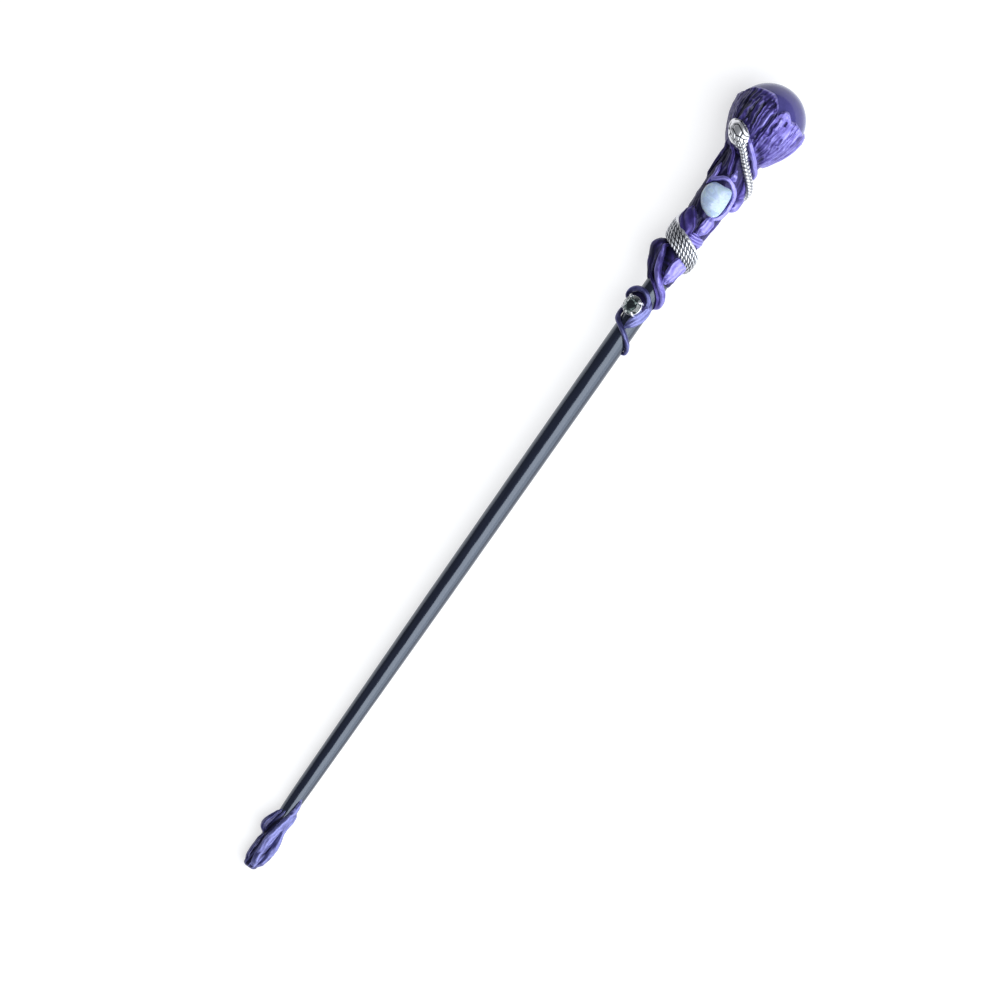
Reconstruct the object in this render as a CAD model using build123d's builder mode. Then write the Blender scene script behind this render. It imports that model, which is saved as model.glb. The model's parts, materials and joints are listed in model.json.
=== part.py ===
"""Magic wand: a lacquered dowel with a sculpted clay handle, a glass ball, a silver snake and two stones.

Everything is modelled in the wand's own straight frame first: +X runs along the dowel from the tip to the
ball, +Z is the side that carries the moonstone, +Y is its left side. At the end every piece is laid down on
the table plane, so that the ball's cup and the tip sleeve both touch Z = 0.
Millimetres throughout. Angles around the dowel are in degrees from +Z, positive towards -Y.
"""
import math
import os

from build123d import *

os.makedirs("parts", exist_ok=True)

# ---------------------------------------------------------------- driving dimensions
OVERALL_LENGTH = 350.5
BALL_DIAMETER = 28.0
BALL_X = OVERALL_LENGTH - BALL_DIAMETER / 2
CORE_AXIS_Y = 0.74          # the handle clay is built up a little to one side of the dowel
CUP_AXIS_Y = 0.90
DOWEL_START_X = 4.0
DOWEL_END_X = 319.7
COLLAR_START_X = 264.5
CORE_START_X = 280.0
CUP_START_X = 319.7
CUP_END_X = 330.0
PETAL_COUNT = 8
PETAL_ARC = 43.6
MOONSTONE_LENGTH = 14.0
MOONSTONE_WIDTH = 10.0
MOONSTONE_HEIGHT = 3.9
MOONSTONE_DOME = 1.65
MOONSTONE_X = 300.8
MOONSTONE_SEAT_Z = 4.6
GEM_DIAMETER = 8.0
GEM_X = 251.5
GEM_ANGLE = -28.0
GEM_GIRDLE = 6.6            # from the dowel's axis to the girdle
SLEEVE_END_X = 24.0
OVAL_SIDES = 8
OVAL_SCALE = 1.04           # keeps the eight-sided section's area equal to the oval's

# dowel and clay radii along the wand: (x, radius)
DOWEL = [
    (4.0, 1.9), (18.0, 2.6), (31.5, 3.15), (74.0, 3.48), (125.8, 3.85), (222.0, 4.14), (319.7, 4.14),
]
SLEEVE = [(0.0, 2.3), (1.0, 2.75), (5.0, 2.85), (12.0, 3.05), (20.0, 3.1), (24.0, 3.15)]
COLLAR = [(264.5, 4.55), (272.0, 5.05), (280.0, 5.3)]
CORE = [
    (280.0, 5.4), (285.6, 5.6), (290.1, 5.75), (294.5, 6.3), (299.0, 6.65), (307.8, 6.85), (314.5, 7.0),
    (319.7, 7.2),
]
CUP = [(319.7, 7.2), (321.2, 8.0), (323.4, 9.4), (325.6, 10.6), (327.8, 11.6), (330.0, 12.6)]
PETAL = [
    (320.6, 8.2), (321.4, 9.0), (323.4, 10.3), (325.6, 11.4), (327.8, 12.4), (330.0, 13.4), (332.3, 14.1),
    (334.5, 14.6), (337.0, 14.75), (339.0, 14.7), (341.0, 14.35), (343.0, 13.65), (345.0, 12.6),
    (346.2, 11.6),
]
PETAL_TIPS = [345.6, 343.0, 341.2, 344.0, 342.4, 344.6, 341.6, 342.6]   # x of each petal's tip
FIRST_PETAL_ANGLE = -19.0

# Courses of the laid-on pieces. Each row is one cross-section:
# (x, angle around the wand, height of its middle above the skin, width, thickness)
SNAKE = [
    (328.63, -55.5, 0.4, 2.2, 1.3), (328.15, -48.3, 0.9, 4.2, 2.4), (327.15, -38.2, 1.4, 6.8, 3.2),
    (325.9, -28.8, 1.5, 8, 3.7), (324.42, -21.3, 1.4, 7.2, 3.4), (323.16, -14.7, 1.2, 4.4, 2.9),
    (321.75, -6.2, 1, 3, 2.7), (318.57, 12, 1, 2.9, 2.7), (315.61, 34.9, 1.1, 3, 2.7),
    (312.83, 63.3, 1.4, 3.2, 2.8), (310.06, 88, 2, 3.6, 2.9), (306.92, 118, 1.9, 4.4, 2.9),
    (301.55, 152, 1.3, 5.4, 2.8), (294.89, 190, 1, 6.4, 2.8), (288.6, 226, 0.9, 7.2, 2.8),
    (284.71, 262, 0.9, 8, 2.8), (283.05, 292, 0.9, 7.8, 2.8), (281.75, 325, 0.9, 7.4, 2.8),
    (280.27, 360, 0.9, 7.1, 2.8), (278.61, 395, 1, 7, 2.8), (276.94, 430, 1.1, 6.8, 2.8),
    (275.46, 460, 1, 6.2, 2.7), (273.62, 495, 0.8, 5, 2.4), (271.58, 530, 0.6, 3.6, 2),
    (269.36, 560, 0.4, 2.2, 1.5), (267.14, 580, 0.2, 1, 0.9),
]
CUP_LIP_STRAND = [
    (327.08, -11.5, 0.1, 1, 0.9), (325.05, -2, 0.35, 1.8, 1.7), (322.82, 11.3, 0.4, 2.1, 1.9),
    (320.42, 32.5, 0.4, 2.2, 2), (318.2, 59.7, 0.4, 2.1, 1.9), (315.24, 100, 0.3, 1.8, 1.6),
    (312.65, 125, 0.1, 1.2, 1.2),
]
NECK_STRAND_LEFT = [
    (322.27, -64, 0.1, 1.2, 1.1), (318.94, -76, 0.35, 2, 1.6), (315.24, -82, 0.4, 2.3, 1.7),
    (311.91, -86, 0.4, 2.3, 1.7), (308.95, -92, 0.3, 1.9, 1.5), (305.99, -100, 0.1, 1.2, 1.1),
]
NECK_STRAND_FRONT = [
    (321.9, -50, 0.1, 1.2, 1.1), (319.31, -31.3, 0.3, 2, 1.5), (316.35, -21, 0.35, 2.2, 1.6),
    (313.76, -14.6, 0.35, 2.2, 1.6), (311.36, -6.6, 0.2, 1.6, 1.3),
]
NECK_STRAND_BACK = [
    (321.16, 215, 0.1, 1.6, 1.2), (316.35, 205, 0.35, 2.6, 1.8), (311.54, 208, 0.35, 2.6, 1.8),
    (307.1, 222, 0.3, 2.2, 1.6), (303.03, 238, 0.1, 1.4, 1.1),
]
NECK_FLAME_LEAF = [
    (314.69, 9, 0.1, 0.8, 0.8), (313.2, 10.3, 0.3, 1.7, 1.3), (311.54, 12.9, 0.35, 2.9, 1.5),
    (310.06, 15.5, 0.3, 3.3, 1.4),
]
BEZEL_SIDE_STRAND = [
    (313.76, -52.6, 0.1, 0.9, 0.9), (311.91, -46.1, 0.35, 1.6, 1.5), (309.88, -41.7, 0.45, 1.8, 1.6),
    (307.84, -41.2, 0.45, 1.8, 1.6), (305.99, -47.2, 0.35, 1.6, 1.5), (304.14, -58.9, 0.15, 1, 1),
]
MOONSTONE_BEZEL = [
    (305.92, -59, 0.1, 0.9, 0.9), (306.84, -43.3, 0.35, 1.5, 1.4), (308.06, -26.5, 0.45, 1.7, 1.6),
    (309.36, -12.5, 0.45, 1.7, 1.6), (309.84, 3.5, 0.45, 1.8, 1.7), (309.1, 21.3, 0.45, 1.9, 1.7),
    (307.47, 39.7, 0.45, 2, 1.8), (304.88, 54.9, 0.45, 2, 1.8), (301.55, 62.8, 0.45, 2, 1.8),
    (298.59, 62.2, 0.45, 1.9, 1.7), (296.19, 53.8, 0.4, 1.8, 1.6), (294.15, 40.8, 0.2, 1.2, 1.2),
]
SIDE_LOBE = [
    (308.76, 108, 0.6, 1.6, 1.6), (307.47, 100, 1, 3, 3), (305.44, 88, 1.2, 4.3, 3.8),
    (303.03, 80, 1, 4.3, 3.6), (301.37, 77, 0.7, 3, 2.6), (300.25, 76, 0.4, 1.4, 1.4),
]
HANDLE_LEAF_RIGHT = [
    (295.44, 38.5, 0.1, 2, 1.2), (293.23, 35.6, 0.35, 4.4, 1.7), (290.82, 33.9, 0.4, 4.8, 1.8),
    (288.6, 32.3, 0.4, 4.2, 1.7), (286.56, 33.1, 0.2, 2.2, 1.2),
]
HANDLE_LEAF_LEFT = [
    (294.89, -52, 0.1, 2, 1.4), (292.49, -44, 0.4, 5.4, 2.3), (289.89, -36, 0.6, 7.4, 2.9),
    (287.31, -22, 0.5, 6.2, 2.5), (285.08, -8, 0.3, 3.4, 1.8), (283.79, -1, 0.1, 1.4, 1.1),
]
HANDLE_WRAP = [
    (285.45, 1.9, 0.05, 2, 0.9), (285.08, 16.7, 0.2, 3.4, 1.2), (284.71, 35.3, 0.2, 3.8, 1.2),
    (284.46, 70, 0.1, 3.5, 1.1), (284.71, 100, 0.05, 3, 1), (285.64, 130, 0.05, 1.8, 0.9),
]
BULB_LEFT = [
    (278.98, -80, 0.3, 2.4, 2.2), (277.87, -82, 1, 4.6, 4), (276.2, -83, 1.9, 6.2, 5.6),
    (273.99, -83, 2.1, 6.4, 6), (271.21, -80, 1.5, 5.4, 5), (268.44, -76, 0.9, 4.2, 3.8),
    (265.48, -70, 0.35, 2.8, 2.4), (263.07, -62, 0, 1.4, 1.2),
]
BULB_RIGHT = [
    (276.94, 36.4, 0.1, 3.4, 1.6), (274.91, 34.1, 0.4, 6, 2.2), (272.13, 29.8, 0.45, 6.2, 2.3),
    (269.36, 26.7, 0.4, 5.2, 2.2), (266.77, 26.4, 0.3, 3.8, 1.8), (264.55, 28.8, 0.05, 1.6, 1.2),
]
BULB_BACK = [
    (276.76, 200, 0.1, 3.4, 1.6), (274.17, 198, 0.4, 5.4, 2.4), (270.84, 195, 0.4, 5.2, 2.3),
    (267.14, 190, 0.25, 3.8, 1.9), (263.81, 185, 0.05, 1.8, 1.2),
]
UPPER_VINE = [
    (278.24, -63, 2.9, 1.1, 1.1), (275.65, -55, 1.7, 2, 2), (272.32, -47, 1.1, 2.5, 2.5),
    (268.99, -33.6, 1.1, 2.6, 2.6), (265.96, -14.9, 1.1, 2.7, 2.7), (263.55, 11.4, 1.1, 2.7, 2.7),
    (261.52, 40.5, 1.1, 2.7, 2.7), (259.56, 66, 1.1, 2.6, 2.6), (258.07, 84, 1.1, 2.5, 2.5),
    (256.78, 104, 1, 2.4, 2.4), (255.67, 128, 0.8, 2, 2), (254.75, 152, 0.5, 1.5, 1.5),
]
UNDER_VINE = [
    (266.77, -60, 0.3, 1.1, 1.1), (264.4, -46.5, 0.25, 1.4, 1.3), (262.33, -7.8, 0.2, 1.5, 1.3),
    (260.48, 23.1, 0.2, 1.5, 1.3), (258.7, 50.1, 0.2, 1.5, 1.3), (256.96, 68, 0.2, 1.4, 1.3),
    (255.48, 84, 0.2, 1.3, 1.2), (254.19, 100, 0.1, 1, 1),
]
GEM_BEZEL = [
    (251.97, -90, 1.2, 1.4, 1.4), (254.08, -83, 2.4, 2, 2.1), (256.04, -74, 2.6, 2.2, 2.3),
    (257.67, -57, 2.2, 2.3, 2.4), (258.41, -33, 1.8, 2.3, 2.4), (257.89, -8, 1.5, 2.3, 2.3),
    (256.19, 12, 1.2, 2.2, 2.2), (254.15, 21, 0.9, 1.8, 1.8), (252.16, 26, 0.4, 1.1, 1.2),
]
GEM_LEAF = [
    (256.41, 34, 0.1, 1.4, 1.1), (254.19, 35, 0.35, 3.2, 1.8), (251.78, 33, 0.5, 4.4, 2.1),
    (249.19, 25, 0.5, 4.6, 2.1), (246.79, 12, 0.45, 4, 1.9), (244.57, -1, 0.3, 2.6, 1.5),
    (242.91, -8, 0.1, 1.2, 1.1),
]
LOWER_VINE = [
    (251.97, -112, 0.5, 1.3, 1.3), (249.56, -100, 0.9, 2, 2), (246.97, -88, 1, 2.2, 2.2),
    (244.87, -67, 1, 2.3, 2.3), (243.2, -34, 1, 2.3, 2.3), (241.68, -3, 1, 2.3, 2.3),
    (239.76, 28, 1, 2.3, 2.3), (237.76, 60, 1, 2.2, 2.2), (235.69, 86, 0.9, 1.9, 1.9),
    (234.21, 106, 0.5, 1.3, 1.3),
]
TIP_STRAND_MAIN = [
    (31.82, 39.6, 0.1, 0.8, 0.8), (28.86, 42.6, 0.4, 1.9, 1.6), (25.16, 39.5, 0.6, 2.7, 2.2),
    (21.09, 25.6, 0.65, 3, 2.4), (16.65, 11.6, 0.6, 3, 2.3), (12.51, 1.2, 0.6, 3, 2.3),
    (7.4, 3.6, 0.6, 3, 2.3), (3.7, 11.6, 0.5, 2.7, 2.1), (1.11, 22.1, 0.2, 1.8, 1.6),
]
TIP_STRAND_RIGHT = [
    (27.38, 84, 0.1, 1, 1), (24.42, 78, 0.4, 2, 1.8), (20.72, 72, 0.3, 2, 1.8), (17.39, 70, 0.3, 2.1, 1.8),
    (13.69, 74, 0.8, 2.8, 2.6), (9.25, 80, 1, 3, 2.8), (4.81, 80, 0.6, 2.6, 2.3),
    (1.48, 76, 0.2, 1.7, 1.6),
]
TIP_KNOB = [
    (24.79, -44, 0.1, 0.9, 0.9), (22.2, -56, 0.5, 1.8, 1.7), (19.61, -66, 0.9, 2.6, 2.6),
    (17.02, -72, 1.2, 3.1, 3.1), (14.8, -74, 0.8, 2.6, 2.5), (13.32, -74, 0.3, 1.4, 1.4),
]
TIP_STRAND_LEFT = [
    (13.69, -52, 0.1, 1.2, 1.2), (11.1, -58, 0.15, 2, 1.5), (7.4, -62, 0.15, 2.2, 1.6),
    (3.7, -62, 0.15, 2, 1.5), (1.11, -60, 0.05, 1.3, 1.2),
]
TIP_STRAND_BACK = [
    (25.9, 170, 0.1, 1.2, 1.1), (21.46, 182, 0.4, 2.4, 2), (16.28, 198, 0.6, 3, 2.4),
    (11.1, 208, 0.7, 3.2, 2.6), (5.92, 204, 0.6, 3, 2.4), (1.85, 196, 0.2, 1.9, 1.6),
]
TIP_STRAND_BACK_RIGHT = [
    (22.2, 128, 0.1, 1.2, 1.1), (17.76, 136, 0.4, 2.2, 1.9), (12.58, 146, 0.6, 2.7, 2.2),
    (7.4, 146, 0.6, 2.7, 2.2), (2.96, 138, 0.3, 1.9, 1.6),
]


# ---------------------------------------------------------------- helpers
def table_value(table, x):
    """Straight-line reading of an (x, value) table."""
    if x <= table[0][0]:
        return table[0][1]
    for (x0, v0), (x1, v1) in zip(table, table[1:]):
        if x <= x1:
            return v0 + (v1 - v0) * (x - x0) / (x1 - x0)
    return table[-1][1]


def skin(x):
    """Axis offset and radius of the surface that the laid-on pieces follow."""
    if x < SLEEVE_END_X:
        return 0.0, table_value(SLEEVE, x)
    if x < COLLAR_START_X:
        return 0.0, table_value(DOWEL, x)
    axis_y = table_value(
        [(276.0, 0.0), (284.0, CORE_AXIS_Y), (318.0, CORE_AXIS_Y), (322.0, CUP_AXIS_Y)], x
    )
    if x < CORE_START_X:
        return axis_y, table_value(COLLAR, x)
    if x < CUP_START_X:
        return axis_y, table_value(CORE, x)
    return axis_y, table_value([(319.7, 7.4), (320.6, 8.2)] + PETAL[1:], x)


def radial(angle):
    a = math.radians(angle)
    return Vector(0, -math.sin(a), math.cos(a))


def smooth_rows(rows, steps=1):
    """Catmull-Rom rows between the given ones, so that a course bends evenly."""
    out = []
    for i in range(len(rows) - 1):
        p0, p1, p2, p3 = (rows[max(0, min(len(rows) - 1, i + k))] for k in (-1, 0, 1, 2))
        for j in range(steps):
            t = j / steps
            out.append(
                tuple(
                    0.5 * (2 * b + (c - a) * t + (2 * a - 5 * b + 4 * c - d) * t * t
                           + (3 * b - a - 3 * c + d) * t ** 3)
                    for a, b, c, d in zip(p0, p1, p2, p3)
                )
            )
    out.append(rows[-1])
    return out


def stations(rows, steps=1):
    """Cross-section planes of a course, square to its direction, with each one's width and thickness."""
    rows = smooth_rows(rows, steps)
    points = []
    for x, angle, lift, width, thick in rows:
        axis_y, radius = skin(x)
        points.append(Vector(x, axis_y, 0) + radial(angle) * (radius + lift))
    planes = []
    for i, row in enumerate(rows):
        along = (points[min(i + 1, len(points) - 1)] - points[max(i - 1, 0)]).normalized()
        out = radial(row[1])
        across = along.cross(out).normalized()
        planes.append((Plane(origin=points[i], x_dir=across, z_dir=along), row[3], row[4]))
    return planes


def oval(width, thick):
    """Eight-sided oval of the given size, its sides standing for a rolled clay rope's round section."""
    turns = [math.pi * (2 * k + 1) / OVAL_SIDES for k in range(OVAL_SIDES)]
    return [(OVAL_SCALE * width / 2 * math.cos(a), OVAL_SCALE * thick / 2 * math.sin(a)) for a in turns]


def cut_by(*neighbours):
    """Trim the piece being built where it meets pieces already made, and keep its one main solid."""
    for neighbour in neighbours:
        add(neighbour.part, mode=Mode.SUBTRACT)
    solids = BuildPart._get_context().part.solids().sort_by(SortBy.VOLUME)
    if len(solids) > 1:
        add(solids[-1], mode=Mode.REPLACE)


def profile(table, inner=0.0):
    """Closed half-profile in (x, radius) for a turned piece."""
    return [(table[0][0], inner)] + list(table) + [(table[-1][0], inner)]


DOWEL_AXIS = Axis((0, 0, 0), (1, 0, 0))
CORE_AXIS = Axis((0, CORE_AXIS_Y, 0), (1, 0, 0))
CUP_AXIS = Axis((0, CUP_AXIS_Y, 0), (1, 0, 0))
TURNED = Plane(origin=(0, 0, 0), x_dir=(1, 0, 0), z_dir=(0, -1, 0))        # x along, y = +Z
TURNED_CORE = Plane(origin=(0, CORE_AXIS_Y, 0), x_dir=(1, 0, 0), z_dir=(0, -1, 0))
TURNED_CUP = Plane(origin=(0, CUP_AXIS_Y, 0), x_dir=(1, 0, 0), z_dir=(0, -1, 0))

# ---------------------------------------------------------------- dowel
with BuildPart() as shaft:
    with BuildSketch(TURNED):
        with BuildLine():
            Polyline(*profile(DOWEL), close=True)
        make_face()
    revolve(axis=DOWEL_AXIS)

# ---------------------------------------------------------------- ball and its cup
with BuildPart() as crystal_ball:
    with BuildSketch(TURNED_CUP):
        with Locations((BALL_X, 0)):
            Circle(BALL_DIAMETER / 2)
        with Locations((BALL_X, -BALL_DIAMETER / 2)):
            Rectangle(BALL_DIAMETER + 2, BALL_DIAMETER, mode=Mode.SUBTRACT)
    revolve(axis=CUP_AXIS)

with BuildPart() as handle_core:
    with BuildSketch(TURNED_CORE):
        with BuildLine():
            Polyline(*profile(CORE), close=True)
        make_face()
    revolve(axis=CORE_AXIS)
    cut_by(shaft)

with BuildPart() as handle_collar:
    with BuildSketch(TURNED):
        with BuildLine():
            Polyline(*profile(COLLAR), close=True)
        make_face()
    revolve(axis=DOWEL_AXIS)
    cut_by(shaft)

with BuildPart() as ball_cup:
    with BuildSketch(TURNED_CUP):
        with BuildLine():
            Polyline(*profile(CUP), close=True)
        make_face()
    revolve(axis=CUP_AXIS)
    cut_by(crystal_ball)

# ---------------------------------------------------------------- moonstone, seated in the handle
with BuildPart() as moonstone:
    with BuildSketch(Plane(origin=(MOONSTONE_X, 0.46, MOONSTONE_SEAT_Z))):
        Ellipse(MOONSTONE_LENGTH / 2, MOONSTONE_WIDTH / 2, rotation=8)
    extrude(amount=MOONSTONE_HEIGHT)
    fillet(moonstone.edges().group_by(Axis.Z)[-1], radius=MOONSTONE_DOME)

with BuildPart() as handle_core_seated:
    add(handle_core.part)
    cut_by(moonstone)
handle_core = handle_core_seated

# ---------------------------------------------------------------- snake ring and the calyx petals
with BuildPart() as snake:
    for plane, width, thick in stations(SNAKE):
        with BuildSketch(plane):
            with BuildLine():
                Polyline(*oval(width, thick), close=True)
            make_face()
    loft()
    cut_by(shaft, handle_core, handle_collar, ball_cup)

petals = []
for number in range(PETAL_COUNT):
    middle = FIRST_PETAL_ANGLE + number * 360 / PETAL_COUNT
    tip = PETAL_TIPS[number]
    start = middle - PETAL_ARC / 2
    wall = Plane(
        origin=(0, CUP_AXIS_Y, 0),
        x_dir=(1, 0, 0),
        z_dir=Vector(1, 0, 0).cross(radial(start)),
    )
    face_on = Plane(origin=(0, CUP_AXIS_Y, 0), x_dir=(1, 0, 0), z_dir=radial(middle))
    with BuildPart() as petal:
        with BuildSketch(wall):
            with BuildLine():
                Polyline(
                    *PETAL, (346.2, 9.0), (340.0, 12.0), (332.0, 12.0), (326.0, 8.4), (320.6, 6.0), close=True
                )
            make_face()
        revolve(axis=CUP_AXIS, revolution_arc=PETAL_ARC)
        with BuildSketch(face_on):
            with BuildLine():
                Polyline((tip - 4.4, 5.9), (319.0, 6.6), (319.0, -6.6), (tip - 4.4, -5.9))
                ThreePointArc((tip - 4.4, -5.9), (tip, 0), (tip - 4.4, 5.9))
            make_face()
        extrude(amount=20, mode=Mode.INTERSECT)
        cut_by(ball_cup, crystal_ball, snake)
    petals.append(petal)

# ---------------------------------------------------------------- clay strands of the neck and handle
with BuildPart() as cup_lip_strand:
    for plane, width, thick in stations(CUP_LIP_STRAND):
        with BuildSketch(plane):
            with BuildLine():
                Polyline(*oval(width, thick), close=True)
            make_face()
    loft()
    cut_by(handle_core, ball_cup, snake, *petals)

with BuildPart() as neck_strand_left:
    for plane, width, thick in stations(NECK_STRAND_LEFT):
        with BuildSketch(plane):
            with BuildLine():
                Polyline(*oval(width, thick), close=True)
            make_face()
    loft()
    cut_by(handle_core, ball_cup, snake, *petals)

with BuildPart() as neck_strand_front:
    for plane, width, thick in stations(NECK_STRAND_FRONT):
        with BuildSketch(plane):
            with BuildLine():
                Polyline(*oval(width, thick), close=True)
            make_face()
    loft()
    cut_by(handle_core, ball_cup, snake, neck_strand_left, *petals)

with BuildPart() as neck_strand_back:
    for plane, width, thick in stations(NECK_STRAND_BACK):
        with BuildSketch(plane):
            with BuildLine():
                Polyline(*oval(width, thick), close=True)
            make_face()
    loft()
    cut_by(handle_core, ball_cup, snake, cup_lip_strand, *petals)

with BuildPart() as bezel_side_strand:
    for plane, width, thick in stations(BEZEL_SIDE_STRAND):
        with BuildSketch(plane):
            with BuildLine():
                Polyline(*oval(width, thick), close=True)
            make_face()
    loft()
    cut_by(handle_core, moonstone, snake, neck_strand_left, neck_strand_front)

with BuildPart() as moonstone_bezel:
    for plane, width, thick in stations(MOONSTONE_BEZEL):
        with BuildSketch(plane):
            with BuildLine():
                Polyline(*oval(width, thick), close=True)
            make_face()
    loft()
    cut_by(handle_core, moonstone, snake, bezel_side_strand)

with BuildPart() as neck_flame_leaf:
    for plane, width, thick in stations(NECK_FLAME_LEAF):
        with BuildSketch(plane):
            with BuildLine():
                Polyline(*oval(width, thick), close=True)
            make_face()
    loft()
    cut_by(handle_core, snake, moonstone_bezel, neck_strand_front)

with BuildPart() as side_lobe:
    for plane, width, thick in stations(SIDE_LOBE):
        with BuildSketch(plane):
            with BuildLine():
                Polyline(*oval(width, thick), close=True)
            make_face()
    loft()
    cut_by(handle_core, snake, moonstone_bezel)

with BuildPart() as handle_leaf_right:
    for plane, width, thick in stations(HANDLE_LEAF_RIGHT):
        with BuildSketch(plane):
            with BuildLine():
                Polyline(*oval(width, thick), close=True)
            make_face()
    loft()
    cut_by(handle_core, moonstone, moonstone_bezel)

with BuildPart() as handle_leaf_left:
    for plane, width, thick in stations(HANDLE_LEAF_LEFT):
        with BuildSketch(plane):
            with BuildLine():
                Polyline(*oval(width, thick), close=True)
            make_face()
    loft()
    cut_by(handle_core, moonstone, snake, handle_leaf_right)

with BuildPart() as handle_wrap:
    for plane, width, thick in stations(HANDLE_WRAP):
        with BuildSketch(plane):
            with BuildLine():
                Polyline(*oval(width, thick), close=True)
            make_face()
    loft()
    cut_by(handle_core, snake, handle_leaf_right, handle_leaf_left)

# ---------------------------------------------------------------- lower lobes and vines
with BuildPart() as bulb_left:
    for plane, width, thick in stations(BULB_LEFT):
        with BuildSketch(plane):
            with BuildLine():
                Polyline(*oval(width, thick), close=True)
            make_face()
    loft()
    cut_by(shaft, handle_collar, handle_core, snake)

with BuildPart() as bulb_right:
    for plane, width, thick in stations(BULB_RIGHT):
        with BuildSketch(plane):
            with BuildLine():
                Polyline(*oval(width, thick), close=True)
            make_face()
    loft()
    cut_by(shaft, handle_collar, handle_core, snake)

with BuildPart() as bulb_back:
    for plane, width, thick in stations(BULB_BACK):
        with BuildSketch(plane):
            with BuildLine():
                Polyline(*oval(width, thick), close=True)
            make_face()
    loft()
    cut_by(shaft, handle_collar, handle_core, snake, bulb_left)

with BuildPart() as upper_vine:
    for plane, width, thick in stations(UPPER_VINE):
        with BuildSketch(plane):
            with BuildLine():
                Polyline(*oval(width, thick), close=True)
            make_face()
    loft()
    cut_by(shaft, handle_collar, handle_core, snake, bulb_left, bulb_right, bulb_back)

with BuildPart() as under_vine:
    for plane, width, thick in stations(UNDER_VINE):
        with BuildSketch(plane):
            with BuildLine():
                Polyline(*oval(width, thick), close=True)
            make_face()
    loft()
    cut_by(shaft, handle_collar, bulb_left, bulb_right, upper_vine)

# ---------------------------------------------------------------- gem in its claw setting
GEM_OUT = radial(GEM_ANGLE)


def gem_plane(height):
    """Plane facing outwards at a height above the dowel's axis, under the gem."""
    return Plane(origin=Vector(GEM_X, 0, 0) + GEM_OUT * height, x_dir=(1, 0, 0), z_dir=GEM_OUT)


GEM_SIDE = Plane(
    origin=Vector(GEM_X, 0, 0) + GEM_OUT * GEM_GIRDLE,
    x_dir=(1, 0, 0),
    z_dir=Vector(1, 0, 0).cross(GEM_OUT),
)                                                                         # x along, y outwards
GEM_AXIS = Axis(Vector(GEM_X, 0, 0), GEM_OUT)
SETTING_BASE = 4.25
CLAW_COUNT = 4

with BuildPart() as gem_pad:
    with BuildSketch(gem_plane(2.0)):
        Circle(4.9)
    extrude(amount=SETTING_BASE - 2.0)
    cut_by(shaft)

with BuildPart() as gem:
    with BuildSketch(GEM_SIDE):
        with BuildLine():
            Polyline((0, -2.0), (4.0, -0.15), (4.0, 0.05), (2.3, 1.15), (0, 1.15), close=True)
        make_face()
    revolve(axis=GEM_AXIS)

with BuildPart() as gem_setting:
    with BuildSketch(GEM_SIDE):
        with BuildLine():
            Polyline(
                (0, SETTING_BASE - GEM_GIRDLE), (3.6, SETTING_BASE - GEM_GIRDLE), (4.35, -1.0),
                (4.35, -0.15), (0, -0.15), close=True,
            )
        make_face()
    revolve(axis=GEM_AXIS)
    with BuildSketch(gem_plane(GEM_GIRDLE - 1.2)):
        with PolarLocations(4.0, CLAW_COUNT, start_angle=40):
            Circle(0.5)
    extrude(amount=2.05)
    cut_by(gem)

with BuildPart() as gem_bezel:
    for plane, width, thick in stations(GEM_BEZEL):
        with BuildSketch(plane):
            with BuildLine():
                Polyline(*oval(width, thick), close=True)
            make_face()
    loft()
    cut_by(shaft, gem_pad, gem_setting, gem, upper_vine, under_vine)

with BuildPart() as gem_leaf:
    for plane, width, thick in stations(GEM_LEAF):
        with BuildSketch(plane):
            with BuildLine():
                Polyline(*oval(width, thick), close=True)
            make_face()
    loft()
    cut_by(shaft, gem_pad, gem_setting, gem, gem_bezel, under_vine)

with BuildPart() as lower_vine:
    for plane, width, thick in stations(LOWER_VINE):
        with BuildSketch(plane):
            with BuildLine():
                Polyline(*oval(width, thick), close=True)
            make_face()
    loft()
    cut_by(shaft, gem_pad, gem_setting, gem_bezel, gem_leaf)

# ---------------------------------------------------------------- clay tip
with BuildPart() as tip_sleeve:
    with BuildSketch(TURNED):
        with BuildLine():
            Polyline(*profile(SLEEVE), close=True)
        make_face()
    revolve(axis=DOWEL_AXIS)
    cut_by(shaft)

with BuildPart() as tip_strand_main:
    for plane, width, thick in stations(TIP_STRAND_MAIN):
        with BuildSketch(plane):
            with BuildLine():
                Polyline(*oval(width, thick), close=True)
            make_face()
    loft()
    cut_by(shaft, tip_sleeve)

with BuildPart() as tip_knob:
    for plane, width, thick in stations(TIP_KNOB):
        with BuildSketch(plane):
            with BuildLine():
                Polyline(*oval(width, thick), close=True)
            make_face()
    loft()
    cut_by(shaft, tip_sleeve, tip_strand_main)

with BuildPart() as tip_strand_left:
    for plane, width, thick in stations(TIP_STRAND_LEFT):
        with BuildSketch(plane):
            with BuildLine():
                Polyline(*oval(width, thick), close=True)
            make_face()
    loft()
    cut_by(shaft, tip_sleeve, tip_strand_main, tip_knob)

with BuildPart() as tip_strand_right:
    for plane, width, thick in stations(TIP_STRAND_RIGHT):
        with BuildSketch(plane):
            with BuildLine():
                Polyline(*oval(width, thick), close=True)
            make_face()
    loft()
    cut_by(shaft, tip_sleeve, tip_strand_main)

with BuildPart() as tip_strand_back:
    for plane, width, thick in stations(TIP_STRAND_BACK):
        with BuildSketch(plane):
            with BuildLine():
                Polyline(*oval(width, thick), close=True)
            make_face()
    loft()
    cut_by(shaft, tip_sleeve, tip_knob)

with BuildPart() as tip_strand_back_right:
    for plane, width, thick in stations(TIP_STRAND_BACK_RIGHT):
        with BuildSketch(plane):
            with BuildLine():
                Polyline(*oval(width, thick), close=True)
            make_face()
    loft()
    cut_by(shaft, tip_sleeve, tip_strand_back, tip_strand_right)

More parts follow.
